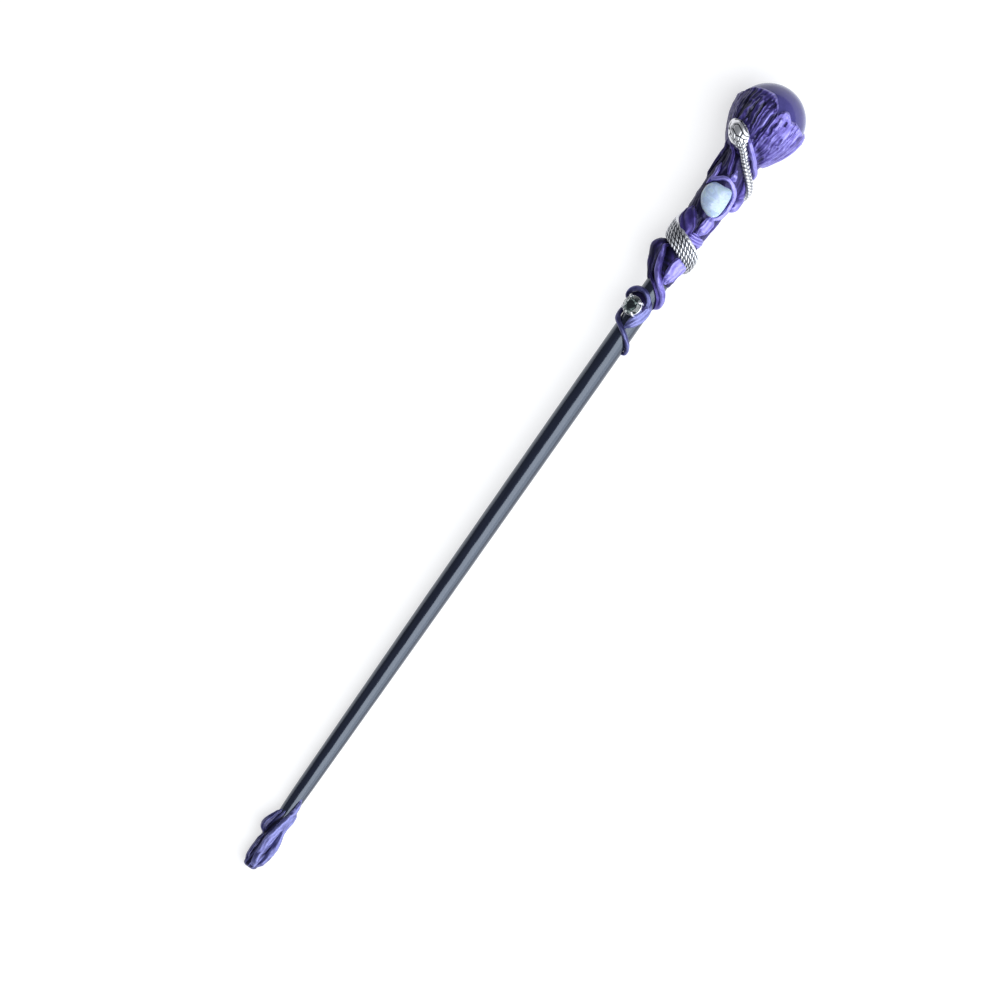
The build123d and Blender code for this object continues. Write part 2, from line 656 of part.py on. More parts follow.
# ---------------------------------------------------------------- lay the wand on the table and write it
pieces = {
    "shaft": shaft,
    "handle_core": handle_core,
    "handle_collar": handle_collar,
    "ball_cup": ball_cup,
    "crystal_ball": crystal_ball,
    "moonstone": moonstone,
    "snake": snake,
    "cup_lip_strand": cup_lip_strand,
    "neck_strand_left": neck_strand_left,
    "neck_strand_front": neck_strand_front,
    "neck_strand_back": neck_strand_back,
    "neck_flame_leaf": neck_flame_leaf,
    "bezel_side_strand": bezel_side_strand,
    "moonstone_bezel": moonstone_bezel,
    "side_lobe": side_lobe,
    "handle_leaf_right": handle_leaf_right,
    "handle_leaf_left": handle_leaf_left,
    "handle_wrap": handle_wrap,
    "bulb_left": bulb_left,
    "bulb_right": bulb_right,
    "bulb_back": bulb_back,
    "upper_vine": upper_vine,
    "under_vine": under_vine,
    "gem": gem,
    "gem_setting": gem_setting,
    "gem_pad": gem_pad,
    "gem_bezel": gem_bezel,
    "gem_leaf": gem_leaf,
    "lower_vine": lower_vine,
    "tip_sleeve": tip_sleeve,
    "tip_knob": tip_knob,
    "tip_strand_main": tip_strand_main,
    "tip_strand_left": tip_strand_left,
    "tip_strand_right": tip_strand_right,
    "tip_strand_back": tip_strand_back,
    "tip_strand_back_right": tip_strand_back_right,
}
for number, petal in enumerate(petals, 1):
    pieces[f"cup_petal_{number}"] = petal

LEAN = 1.767                 # degrees: head raised so that the petals and the tip both touch the table
REST_SHIFT = (-175.13, -0.9, 4.355)
LAY_DOWN = Location(REST_SHIFT) * Location((0, 0, 0), (0, -LEAN, 0))

for node, piece in pieces.items():
    placed = piece.part.moved(LAY_DOWN)
    placed.label = node
    export_step(placed, f"parts/{node}.step")
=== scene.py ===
"""Looks of the magic wand: sculpted clay, glass ball, silver snake, stones and the lacquered dowel.

Pieces are made in the wand's own straight frame, in millimetres: +X along the dowel from the tip to the
ball, +Z towards the side with the moonstone, +Y to its left. wand_to_row() then lays them where the frame's
CAD nodes are. Angles round the wand are in degrees from +Z, positive towards -Y.
"""
import json
import math

import bmesh
import bpy
import numpy as np
from mathutils import Matrix, Vector


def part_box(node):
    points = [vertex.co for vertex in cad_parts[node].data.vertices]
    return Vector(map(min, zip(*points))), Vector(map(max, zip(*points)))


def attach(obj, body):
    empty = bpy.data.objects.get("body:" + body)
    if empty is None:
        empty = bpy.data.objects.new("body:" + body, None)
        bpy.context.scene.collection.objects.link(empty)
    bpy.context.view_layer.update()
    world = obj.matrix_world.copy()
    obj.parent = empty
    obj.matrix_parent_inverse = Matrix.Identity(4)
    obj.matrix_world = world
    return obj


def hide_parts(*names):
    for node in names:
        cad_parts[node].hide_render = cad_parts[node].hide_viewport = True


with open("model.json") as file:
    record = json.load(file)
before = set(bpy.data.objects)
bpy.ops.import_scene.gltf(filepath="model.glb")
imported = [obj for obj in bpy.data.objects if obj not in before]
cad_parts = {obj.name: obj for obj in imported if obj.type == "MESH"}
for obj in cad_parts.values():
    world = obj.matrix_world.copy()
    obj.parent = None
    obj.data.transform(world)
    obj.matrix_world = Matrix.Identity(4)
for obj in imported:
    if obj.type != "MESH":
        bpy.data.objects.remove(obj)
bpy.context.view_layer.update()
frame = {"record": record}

# ------------------------------------------------------------------ where the wand lies
BALL_X, BALL_Y, BALL_R = 336.5, 0.9, 14.0
CORE_Y = 0.74
tip_at = np.array(frame["record"]["mounts"][0]["pos_m"]) * 1000
ball_lo, ball_hi = (np.array(tuple(v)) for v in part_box("crystal_ball"))
ball_at = (ball_lo + ball_hi) * 500
run = ball_at - tip_at
LEAN = math.atan2(run[2], run[0])


def wand_to_row(p):
    """Millimetres in the wand's frame to metres in the row's frame."""
    p = np.asarray(p, float)
    c, s = math.cos(LEAN), math.sin(LEAN)
    out = np.empty_like(p)
    out[..., 0] = p[..., 0] * c - p[..., 2] * s
    out[..., 1] = p[..., 1]
    out[..., 2] = p[..., 0] * s + p[..., 2] * c
    return (out + tip_at) / 1000


# ------------------------------------------------------------------ measured tables, millimetres
DOWEL = [(4.0, 1.9), (18.0, 2.6), (31.5, 3.15), (74.0, 3.48), (125.8, 3.85), (222.0, 4.14), (319.7, 4.14)]
SLEEVE = [(0.0, 2.3), (1.0, 2.75), (5.0, 2.85), (12.0, 3.05), (20.0, 3.1), (24.0, 3.15)]
COLLAR = [(264.5, 4.55), (272.0, 5.05), (280.0, 5.3)]
CORE = [
    (280.0, 5.4), (285.6, 5.6), (290.1, 5.75), (294.5, 6.3), (299.0, 6.65), (307.8, 6.85), (314.5, 7.0),
    (319.7, 7.2),
]
CUP = [(319.7, 7.2), (321.2, 8.0), (323.4, 9.4), (325.6, 10.6), (327.8, 11.6), (330.0, 12.6)]
PETAL = [
    (319.7, 7.4), (320.6, 8.2), (321.4, 9.0), (323.4, 10.3), (325.6, 11.4), (327.8, 12.4), (330.0, 13.4),
    (332.3, 14.1), (334.5, 14.6), (337.0, 14.75), (339.0, 14.7), (341.0, 14.35), (343.0, 13.65),
    (345.0, 12.6), (346.2, 11.6),
]

# laid-on pieces: (x, angle, height of the middle above the skin, width, thickness)
COURSES = {
    "snake": [
        (328.63, -55.5, 0.4, 2.2, 1.3), (328.15, -48.3, 0.9, 4.2, 2.4), (327.15, -38.2, 1.4, 6.8, 3.2),
        (325.9, -28.8, 1.5, 8, 3.7), (324.42, -21.3, 1.4, 7.2, 3.4), (323.16, -14.7, 1.2, 4.4, 2.9),
        (321.75, -6.2, 1, 3, 2.7), (318.57, 12, 1, 2.9, 2.7), (315.61, 34.9, 1.1, 3, 2.7),
        (312.83, 63.3, 1.4, 3.2, 2.8), (310.06, 88, 2, 3.6, 2.9), (306.92, 118, 1.9, 4.4, 2.9),
        (301.55, 152, 1.3, 5.4, 2.8), (294.89, 190, 1, 6.4, 2.8), (288.6, 226, 0.9, 7.2, 2.8),
        (284.71, 262, 0.9, 8, 2.8), (283.05, 292, 0.9, 7.8, 2.8), (281.75, 325, 0.9, 7.4, 2.8),
        (280.27, 360, 0.9, 7.1, 2.8), (278.61, 395, 1, 7, 2.8), (276.94, 430, 1.1, 6.8, 2.8),
        (275.46, 460, 1, 6.2, 2.7), (273.62, 495, 0.8, 5, 2.4), (271.58, 530, 0.6, 3.6, 2),
        (269.36, 560, 0.4, 2.2, 1.5), (267.14, 580, 0.2, 1, 0.9),
    ],
    "cup_lip_strand": [
        (327.08, -11.5, 0.1, 1, 0.9), (325.05, -2, 0.35, 1.8, 1.7), (322.82, 11.3, 0.4, 2.1, 1.9),
        (320.42, 32.5, 0.4, 2.2, 2), (318.2, 59.7, 0.4, 2.1, 1.9), (315.24, 100, 0.3, 1.8, 1.6),
        (312.65, 125, 0.1, 1.2, 1.2),
    ],
    "neck_strand_left": [
        (322.27, -64, 0.1, 1.2, 1.1), (318.94, -76, 0.35, 2, 1.6), (315.24, -82, 0.4, 2.3, 1.7),
        (311.91, -86, 0.4, 2.3, 1.7), (308.95, -92, 0.3, 1.9, 1.5), (305.99, -100, 0.1, 1.2, 1.1),
    ],
    "neck_strand_front": [
        (321.9, -50, 0.1, 1.2, 1.1), (319.31, -31.3, 0.3, 2, 1.5), (316.35, -21, 0.35, 2.2, 1.6),
        (313.76, -14.6, 0.35, 2.2, 1.6), (311.36, -6.6, 0.2, 1.6, 1.3),
    ],
    "neck_strand_back": [
        (321.16, 215, 0.1, 1.6, 1.2), (316.35, 205, 0.35, 2.6, 1.8), (311.54, 208, 0.35, 2.6, 1.8),
        (307.1, 222, 0.3, 2.2, 1.6), (303.03, 238, 0.1, 1.4, 1.1),
    ],
    "neck_flame_leaf": [
        (314.69, 9, 0.1, 0.8, 0.8), (313.2, 10.3, 0.3, 1.7, 1.3), (311.54, 12.9, 0.35, 2.9, 1.5),
        (310.06, 15.5, 0.3, 3.3, 1.4),
    ],
    "bezel_side_strand": [
        (313.76, -52.6, 0.1, 0.9, 0.9), (311.91, -46.1, 0.35, 1.6, 1.5), (309.88, -41.7, 0.45, 1.8, 1.6),
        (307.84, -41.2, 0.45, 1.8, 1.6), (305.99, -47.2, 0.35, 1.6, 1.5), (304.14, -58.9, 0.15, 1, 1),
    ],
    "moonstone_bezel": [
        (305.92, -59, 0.1, 0.9, 0.9), (306.84, -43.3, 0.35, 1.5, 1.4), (308.06, -26.5, 0.45, 1.7, 1.6),
        (309.36, -12.5, 0.45, 1.7, 1.6), (309.84, 3.5, 0.45, 1.8, 1.7), (309.1, 21.3, 0.45, 1.9, 1.7),
        (307.47, 39.7, 0.45, 2, 1.8), (304.88, 54.9, 0.45, 2, 1.8), (301.55, 62.8, 0.45, 2, 1.8),
        (298.59, 62.2, 0.45, 1.9, 1.7), (296.19, 53.8, 0.4, 1.8, 1.6), (294.15, 40.8, 0.2, 1.2, 1.2),
    ],
    "side_lobe": [
        (308.76, 108, 0.6, 1.6, 1.6), (307.47, 100, 1, 3, 3), (305.44, 88, 1.2, 4.3, 3.8),
        (303.03, 80, 1, 4.3, 3.6), (301.37, 77, 0.7, 3, 2.6), (300.25, 76, 0.4, 1.4, 1.4),
    ],
    "handle_leaf_right": [
        (295.44, 38.5, 0.1, 2, 1.2), (293.23, 35.6, 0.35, 4.4, 1.7), (290.82, 33.9, 0.4, 4.8, 1.8),
        (288.6, 32.3, 0.4, 4.2, 1.7), (286.56, 33.1, 0.2, 2.2, 1.2),
    ],
    "handle_leaf_left": [
        (294.89, -52, 0.1, 2, 1.4), (292.49, -44, 0.4, 5.4, 2.3), (289.89, -36, 0.6, 7.4, 2.9),
        (287.31, -22, 0.5, 6.2, 2.5), (285.08, -8, 0.3, 3.4, 1.8), (283.79, -1, 0.1, 1.4, 1.1),
    ],
    "handle_wrap": [
        (285.45, 1.9, 0.05, 2, 0.9), (285.08, 16.7, 0.2, 3.4, 1.2), (284.71, 35.3, 0.2, 3.8, 1.2),
        (284.46, 70, 0.1, 3.5, 1.1), (284.71, 100, 0.05, 3, 1), (285.64, 130, 0.05, 1.8, 0.9),
    ],
    "bulb_left": [
        (278.98, -80, 0.3, 2.4, 2.2), (277.87, -82, 1, 4.6, 4), (276.2, -83, 1.9, 6.2, 5.6),
        (273.99, -83, 2.1, 6.4, 6), (271.21, -80, 1.5, 5.4, 5), (268.44, -76, 0.9, 4.2, 3.8),
        (265.48, -70, 0.35, 2.8, 2.4), (263.07, -62, 0, 1.4, 1.2),
    ],
    "bulb_right": [
        (276.94, 36.4, 0.1, 3.4, 1.6), (274.91, 34.1, 0.4, 6, 2.2), (272.13, 29.8, 0.45, 6.2, 2.3),
        (269.36, 26.7, 0.4, 5.2, 2.2), (266.77, 26.4, 0.3, 3.8, 1.8), (264.55, 28.8, 0.05, 1.6, 1.2),
    ],
    "bulb_back": [
        (276.76, 200, 0.1, 3.4, 1.6), (274.17, 198, 0.4, 5.4, 2.4), (270.84, 195, 0.4, 5.2, 2.3),
        (267.14, 190, 0.25, 3.8, 1.9), (263.81, 185, 0.05, 1.8, 1.2),
    ],
    "upper_vine": [
        (278.24, -63, 2.9, 1.1, 1.1), (275.65, -55, 1.7, 2, 2), (272.32, -47, 1.1, 2.5, 2.5),
        (268.99, -33.6, 1.1, 2.6, 2.6), (265.96, -14.9, 1.1, 2.7, 2.7), (263.55, 11.4, 1.1, 2.7, 2.7),
        (261.52, 40.5, 1.1, 2.7, 2.7), (259.56, 66, 1.1, 2.6, 2.6), (258.07, 84, 1.1, 2.5, 2.5),
        (256.78, 104, 1, 2.4, 2.4), (255.67, 128, 0.8, 2, 2), (254.75, 152, 0.5, 1.5, 1.5),
    ],
    "under_vine": [
        (266.77, -60, 0.3, 1.1, 1.1), (264.4, -46.5, 0.25, 1.4, 1.3), (262.33, -7.8, 0.2, 1.5, 1.3),
        (260.48, 23.1, 0.2, 1.5, 1.3), (258.7, 50.1, 0.2, 1.5, 1.3), (256.96, 68, 0.2, 1.4, 1.3),
        (255.48, 84, 0.2, 1.3, 1.2), (254.19, 100, 0.1, 1, 1),
    ],
    "gem_bezel": [
        (251.97, -90, 1.2, 1.4, 1.4), (254.08, -83, 2.4, 2, 2.1), (256.04, -74, 2.6, 2.2, 2.3),
        (257.67, -57, 2.2, 2.3, 2.4), (258.41, -33, 1.8, 2.3, 2.4), (257.89, -8, 1.5, 2.3, 2.3),
        (256.19, 12, 1.2, 2.2, 2.2), (254.15, 21, 0.9, 1.8, 1.8), (252.16, 26, 0.4, 1.1, 1.2),
    ],
    "gem_leaf": [
        (256.41, 34, 0.1, 1.4, 1.1), (254.19, 35, 0.35, 3.2, 1.8), (251.78, 33, 0.5, 4.4, 2.1),
        (249.19, 25, 0.5, 4.6, 2.1), (246.79, 12, 0.45, 4, 1.9), (244.57, -1, 0.3, 2.6, 1.5),
        (242.91, -8, 0.1, 1.2, 1.1),
    ],
    "lower_vine": [
        (251.97, -112, 0.5, 1.3, 1.3), (249.56, -100, 0.9, 2, 2), (246.97, -88, 1, 2.2, 2.2),
        (244.87, -67, 1, 2.3, 2.3), (243.2, -34, 1, 2.3, 2.3), (241.68, -3, 1, 2.3, 2.3),
        (239.76, 28, 1, 2.3, 2.3), (237.76, 60, 1, 2.2, 2.2), (235.69, 86, 0.9, 1.9, 1.9),
        (234.21, 106, 0.5, 1.3, 1.3),
    ],
    "tip_strand_main": [
        (31.82, 39.6, 0.1, 0.8, 0.8), (28.86, 42.6, 0.4, 1.9, 1.6), (25.16, 39.5, 0.6, 2.7, 2.2),
        (21.09, 25.6, 0.65, 3, 2.4), (16.65, 11.6, 0.6, 3, 2.3), (12.51, 1.2, 0.6, 3, 2.3),
        (7.4, 3.6, 0.6, 3, 2.3), (3.7, 11.6, 0.5, 2.7, 2.1), (1.11, 22.1, 0.2, 1.8, 1.6),
    ],
    "tip_strand_right": [
        (27.38, 84, 0.1, 1, 1), (24.42, 78, 0.4, 2, 1.8), (20.72, 72, 0.3, 2, 1.8),
        (17.39, 70, 0.3, 2.1, 1.8), (13.69, 74, 0.8, 2.8, 2.6), (9.25, 80, 1, 3, 2.8),
        (4.81, 80, 0.6, 2.6, 2.3), (1.48, 76, 0.2, 1.7, 1.6),
    ],
    "tip_knob": [
        (24.79, -44, 0.1, 0.9, 0.9), (22.2, -56, 0.5, 1.8, 1.7), (19.61, -66, 0.9, 2.6, 2.6),
        (17.02, -72, 1.2, 3.1, 3.1), (14.8, -74, 0.8, 2.6, 2.5), (13.32, -74, 0.3, 1.4, 1.4),
    ],
    "tip_strand_left": [
        (13.69, -52, 0.1, 1.2, 1.2), (11.1, -58, 0.15, 2, 1.5), (7.4, -62, 0.15, 2.2, 1.6),
        (3.7, -62, 0.15, 2, 1.5), (1.11, -60, 0.05, 1.3, 1.2),
    ],
    "tip_strand_back": [
        (25.9, 170, 0.1, 1.2, 1.1), (21.46, 182, 0.4, 2.4, 2), (16.28, 198, 0.6, 3, 2.4),
        (11.1, 208, 0.7, 3.2, 2.6), (5.92, 204, 0.6, 3, 2.4), (1.85, 196, 0.2, 1.9, 1.6),
    ],
    "tip_strand_back_right": [
        (22.2, 128, 0.1, 1.2, 1.1), (17.76, 136, 0.4, 2.2, 1.9), (12.58, 146, 0.6, 2.7, 2.2),
        (7.4, 146, 0.6, 2.7, 2.2), (2.96, 138, 0.3, 1.9, 1.6),
    ],
}


# tooled lines of the cup: (half-width, height, [(x, angle), ...]); a negative height is a groove
CALYX_LINES = [
    (0.95, 0.6, [(340.58, -4.4), (338.12, -2.7), (335.34, -4), (331.95, -6.2), (329.18, -8), (327.48, -10)]),
    (0.55, 0.4, [(339.97, -9.9), (338.12, -11), (335.65, -12.2)]),
    (0.6, 0.45, [(339.81, 6.6), (336.88, 6.9), (333.8, 5), (330.72, 3.3), (327.63, 4.5), (325.63, 7.9)]),
    (0.55, 0.35, [(339.35, 16), (336.88, 17.2), (333.8, 14.2), (330.72, 13.2), (328.25, 14)]),
    (0.5, 0.45, [(338.58, -45.6), (339.51, -39.4), (338.58, -33.9), (336.27, -35.8), (333.8, -39), (330.72, -40.5), (329.18, -39.5)]),
    (0.4, 0.35, [(341.82, -34.9), (342.28, -27.9), (340.89, -23.5), (338.12, -24.6)]),
    (0.5, 0.35, [(339.97, -16.1), (336.88, -16.4), (331.95, -15.2), (329.18, -12.4)]),
    (0.4, 0.3, [(338.12, -57.1), (335.34, -56.2), (331.95, -55.2), (329.79, -53.3)]),
    (0.4, 0.3, [(332.57, -31.3), (331.49, -28), (330.26, -24.1)]),
    (0.6, 0.3, [(338.12, 26), (335.65, 30.2), (332.57, 27.8), (329.49, 26.3), (327.02, 27.3)]),
    (0.5, 0.35, [(339.04, 41.3), (336.27, 38.5), (333.19, 37.8), (330.72, 38.4), (328.25, 46)]),
    (0.5, 0.25, [(339.35, 54), (336.27, 54.7), (332.57, 53.5), (328.87, 54.3), (325.78, 56.1), (322.7, 57.5)]),
    (0.5, 0.3, [(341.36, 9.9), (342.28, 14), (342.28, 20.7), (341.51, 25)]),
    (0.9, 0.3, [(341.36, -57.9), (343.82, -52.7), (344.75, -35.7), (344.9, -18.6), (343.92, -9.5), (342.28, -2.9), (340.89, 3)]),
    (0.8, -0.75, [(338.74, 1.3), (335.34, 1.3), (331.95, 0.2), (329.18, -1.2), (327.02, 0.2)]),
    (0.5, -0.6, [(337.19, 12.2), (333.8, 12), (331.03, 10.3)]),
    (0.35, -0.5, [(339.2, 23.4), (337.96, 25.7)]),
    (0.45, -0.45, [(333.8, 35.4), (331.03, 36), (329.79, 34)]),
    (0.4, -0.6, [(337.35, 42.5), (334.73, 43.5)]),
    (1.2, -0.7, [(326.09, 13.4), (324.4, 23.4), (322.7, 36.3), (321.62, 47.1)]),
    (0.7, -0.55, [(340.89, -47), (336.88, -45.5), (333.19, -46.4), (330.1, -47.4)]),
    (0.7, -0.6, [(340.89, -31.1), (336.88, -30), (333.8, -30.9), (330.1, -35.2)]),
    (0.6, -0.6, [(340.89, -19.9), (336.88, -19.9), (333.19, -19), (330.1, -17.5)]),
    (0.5, -0.5, [(343.51, -13.4), (342.28, -6.5), (340.89, -0.1)]),
    (0.4, -0.3, [(336.58, 19.7), (333.8, 18.8), (330.72, 18.6)]),
    (0.4, -0.3, [(338.12, 49.2), (334.11, 49)]),
    (0.45, -0.35, [(338.12, 61.4), (334.42, 61.1), (331.33, 61.7)]),
    (0.4, -0.35, [(328.87, 31.6), (325.78, 37), (323.32, 46)]),
]
RIM_FRONT = [(-69, 339.81), (-67.8, 341.2), (-62.2, 343.05), (-54.3, 344.35), (-42.2, 345.21), (-29, 345.58), (-19.6, 345.67), (-11.4, 345.06), (-4.1, 343.82), (1.8, 342.28), (5.8, 340.65), (7, 339.81), (9.3, 341.51), (14.2, 342.68), (21.1, 342.96), (26.1, 342.13), (30.9, 340.83), (35.3, 340.95), (40.5, 341.42), (48.5, 340.89), (60.4, 340.12), (74.4, 338.89)]



def read(table, x):
    xs, vs = zip(*table)
    return np.interp(x, xs, vs)


def soft_read(table, x, blur=1.2):
    """A table read with its corners rounded."""
    return sum(read(table, x + blur * k) for k in (-1, -0.5, 0, 0.5, 1)) / 5


def skin(x):
    x = np.asarray(x, float)
    axis = read([(276.0, 0.0), (284.0, CORE_Y), (318.0, CORE_Y), (322.0, BALL_Y)], x)
    radius = np.where(
        x < 24.0, read(SLEEVE, x),
        np.where(x < 264.5, read(DOWEL, x),
                 np.where(x < 280.0, read(COLLAR, x), np.where(x < 319.7, read(CORE, x), read(PETAL, x)))),
    )
    return axis, radius


def radial(deg):
    a = np.radians(deg)
    return np.stack([np.zeros_like(a), -np.sin(a), np.cos(a)], -1)


def unit(v):
    return v / np.maximum(np.linalg.norm(v, axis=-1, keepdims=True), 1e-12)


def lumps(p, size, seed, waves=14):
    """Smooth lumpy field from -1 to 1 or so, with lumps of the given size in millimetres."""
    g = np.random.default_rng(seed)
    k = unit(g.normal(size=(waves, 3))) * (2 * np.pi / size) * g.uniform(0.5, 1.7, (waves, 1))
    turn = g.uniform(0, 2 * np.pi, waves)
    return np.sin(np.asarray(p) @ k.T + turn).sum(-1) / math.sqrt(waves)


def ease(lo, hi, v):
    t = np.clip((np.asarray(v) - lo) / (hi - lo), 0, 1)
    return t * t * (3 - 2 * t)


def line_field(x, arc, lines, radius_of):
    """Height of the tooled lines at points given by x and angle. Distances are measured on the skin."""
    h = np.zeros(np.broadcast(x, arc).shape)
    for half, height, pts in lines:
        best = np.full(h.shape, 1e9)
        along = np.zeros(h.shape)
        for k, ((x0, a0), (x1, a1)) in enumerate(zip(pts, pts[1:])):
            r = float(radius_of((x0 + x1) / 2))
            ux, ua = x1 - x0, math.radians(a1 - a0) * r
            px, pa = x - x0, np.radians(arc - a0) * r
            t = np.clip((px * ux + pa * ua) / max(ux * ux + ua * ua, 1e-9), 0, 1)
            dist = (px - t * ux) ** 2 + (pa - t * ua) ** 2
            along = np.where(dist < best, (k + t) / (len(pts) - 1), along)
            best = np.minimum(best, dist)
        swell = np.sqrt(np.clip(4 * along * (1 - along), 0, 1))
        d = np.sqrt(best) / (half * (0.45 + 0.55 * swell))
        h = h + height * (0.25 + 0.75 * swell) * np.exp(-d ** 2.2)
    return h


# ------------------------------------------------------------------ mesh helpers
def new_piece(name, verts, faces, tone, material, slot, replaces=(), smooth=True):
    me = bpy.data.meshes.new(name)
    me.from_pydata([tuple(v) for v in wand_to_row(verts)], [], [tuple(f) for f in faces])
    if tone is not None and slot == "violet_clay":
        v = np.asarray(verts, float)
        # clay is painted lighter on its -Y side, which faces the softbox, and darker on its +Y side: painted light and
        # shade
        turn = -(v[:, 1] - CORE_Y) / np.maximum(np.hypot(v[:, 1] - CORE_Y, v[:, 2]), 1e-6)
        tone = np.asarray(tone, float) + 0.20 * turn - 0.02
    if tone is not None:
        at = me.attributes.new("tone", "FLOAT", "POINT")
        at.data.foreach_set("value", np.clip(np.asarray(tone, np.float32), 0, 1))
    me.validate()
    me.update()
    bm = bmesh.new()
    bm.from_mesh(me)
    bmesh.ops.recalc_face_normals(bm, faces=bm.faces)
    bm.to_mesh(me)
    bm.free()
    if smooth:
        me.polygons.foreach_set("use_smooth", [True] * len(me.polygons))
    ob = bpy.data.objects.new(name, me)
    bpy.context.scene.collection.objects.link(ob)
    ob.data.materials.append(material)
    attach(ob, "root")
    if replaces:
        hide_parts(*replaces)
    return ob


def ring_faces(rows, around, first=0, wrap=True):
    """Quads of a grid of rows, each closed round if wrap is set."""
    out = []
    for i in range(rows - 1):
        for j in range(around if wrap else around - 1):
            a, b = first + i * around + j, first + i * around + (j + 1) % around
            out.append((a, b, b + around, a + around))
    return out


def closed_tube(rings, tones):
    """Vertices, faces and tones of a tube whose two ends are closed by a point."""
    rows, around, _ = rings.shape
    verts = rings.reshape(-1, 3)
    tone = tones.reshape(-1)
    faces = ring_faces(rows, around)
    for at, row in ((0, 0), (rows - 1, rows - 1)):
        pole = len(verts)
        verts = np.vstack([verts, rings[at].mean(0)[None]])
        tone = np.append(tone, tones[at].mean())
        base = row * around
        for j in range(around):
            faces.append((pole, base + j, base + (j + 1) % around))
    return verts, faces, tone


def bend(rows, step=0.3):
    """Catmull-Rom stations through a course's rows, about one every step millimetres."""
    rows = np.array(rows, float)
    axis, radius = skin(rows[:, 0])
    spots = np.stack([rows[:, 0], axis, np.zeros(len(rows))], -1) + radial(rows[:, 1]) * (radius + rows[:, 2])[:, None]
    gaps = np.linalg.norm(np.diff(spots, axis=0), axis=1)
    out = []
    for i in range(len(rows) - 1):
        p0, p1, p2, p3 = (rows[max(0, min(len(rows) - 1, i + k))] for k in (-1, 0, 1, 2))
        n = max(3, int(gaps[i] / step))
        t = (np.arange(n) / n)[:, None]
        out.append(0.5 * (2 * p1 + (p2 - p0) * t + (2 * p0 - 5 * p1 + 4 * p2 - p3) * t ** 2
                          + (3 * p1 - p0 - 3 * p2 + p3) * t ** 3))
    out.append(rows[-1:])
    return np.vstack(out)


def tube(rows, shape, around=40, step=0.3, taper=0.0, size=1.0, crowd=0.0):
    """Rings along a course. shape(run, turn, width, thick, at) gives (height, tone) on the surface, where
    run is the distance along in millimetres and turn the angle round the section, 90 degrees on top."""
    st = bend(rows, step)
    axis, radius = skin(st[:, 0])
    # the skin's steps are smoothed along the course so that it doesn't jolt
    kernel = np.ones(9) / 9
    pad = np.pad(radius, 4, mode="edge")
    radius = np.convolve(pad, kernel, "valid")
    mid = np.stack([st[:, 0], axis, np.zeros(len(st))], -1) + radial(st[:, 1]) * (radius + st[:, 2])[:, None]
    run = np.concatenate([[0], np.cumsum(np.linalg.norm(np.diff(mid, axis=0), axis=1))])
    st[:, 3:5] *= size
    if taper:
        # the ends thin out and sink into what they lie on
        melt = ease(0, taper, np.minimum(run, run[-1] - run))
        st[:, 3] *= 0.8 + 0.2 * melt
        st[:, 4] *= 0.6 + 0.4 * melt
        st[:, 2] -= (1 - melt) * (st[:, 2] + 0.30 * st[:, 4])
        mid = np.stack([st[:, 0], axis, np.zeros(len(st))], -1) + radial(st[:, 1]) * (radius + st[:, 2])[:, None]
    along = unit(np.gradient(mid, axis=0))
    out = radial(st[:, 1])
    across = unit(np.cross(along, out))
    up = unit(np.cross(across, along))
    w, h = np.maximum(st[:, 3], 0.2), np.maximum(st[:, 4], 0.2)
    # rounded ends
    end = np.minimum(run, run[-1] - run)
    nose = np.clip(end / (0.5 * np.minimum(w, h)), 0, 1)
    close = np.sqrt(np.clip(1 - (1 - nose) ** 2, 0.0, 1)) * 0.94 + 0.06
    w, h = w * close, h * close
    turn = np.linspace(0, 360, around, endpoint=False)
    turn = turn + crowd * np.degrees(np.cos(np.radians(turn)))      # more faces on the outer side
    ca, sa = np.cos(np.radians(turn)), np.sin(np.radians(turn))
    R, T = run[:, None] + 0 * turn, turn[None] + 0 * run[:, None]
    base = (mid[:, None] + across[:, None] * (w[:, None] / 2 * ca)[..., None]
            + up[:, None] * (h[:, None] / 2 * sa)[..., None])
    normal = unit(across[:, None] * (h[:, None] * ca)[..., None] + up[:, None] * (w[:, None] * sa)[..., None])
    height, tone = shape(R, T, w[:, None] + 0 * turn, h[:, None] + 0 * turn, base, run[-1])
    fade = (nose ** 0.5)[:, None]
    return base + normal * (height * fade)[..., None], tone


# ------------------------------------------------------------------ materials
def node_material(name):
    m = bpy.data.materials.new(name)
    m.use_nodes = True
    nt = m.node_tree
    bsdf = next(n for n in nt.nodes if n.type == "BSDF_PRINCIPLED")
    return m, nt, bsdf


def ramp(nt, fac, stops):
    r = nt.nodes.new("ShaderNodeValToRGB")
    els = r.color_ramp.elements
    els[0].position, els[0].color = stops[0][0], (*stops[0][1], 1)
    els[1].position, els[1].color = stops[-1][0], (*stops[-1][1], 1)
    for at, colour in stops[1:-1]:
        e = els.new(at)
        e.color = (*colour, 1)
    nt.links.new(fac, r.inputs["Fac"])
    return r.outputs["Color"]


def object_noise(nt, scale, detail=4, stretch=(1, 1, 1), rough=0.55, distort=0.0):
    co = nt.nodes.new("ShaderNodeTexCoord")
    mp = nt.nodes.new("ShaderNodeMapping")
    mp.inputs["Scale"].default_value = stretch
    nt.links.new(co.outputs["Object"], mp.inputs["Vector"])
    nz = nt.nodes.new("ShaderNodeTexNoise")
    nz.inputs["Scale"].default_value = scale
    nz.inputs["Detail"].default_value = detail
    nz.inputs["Roughness"].default_value = rough
    nz.inputs["Distortion"].default_value = distort
    nt.links.new(mp.outputs["Vector"], nz.inputs["Vector"])
    return nz.outputs["Fac"]


def maths(nt, op, a, b):
    n = nt.nodes.new("ShaderNodeMath")
    n.operation = op
    n.use_clamp = op in ("MULTIPLY_ADD",)
    for k, v in enumerate((a, b)):
        if isinstance(v, (int, float)):
            n.inputs[k].default_value = v
        else:
            nt.links.new(v, n.inputs[k])
    return n.outputs[0]


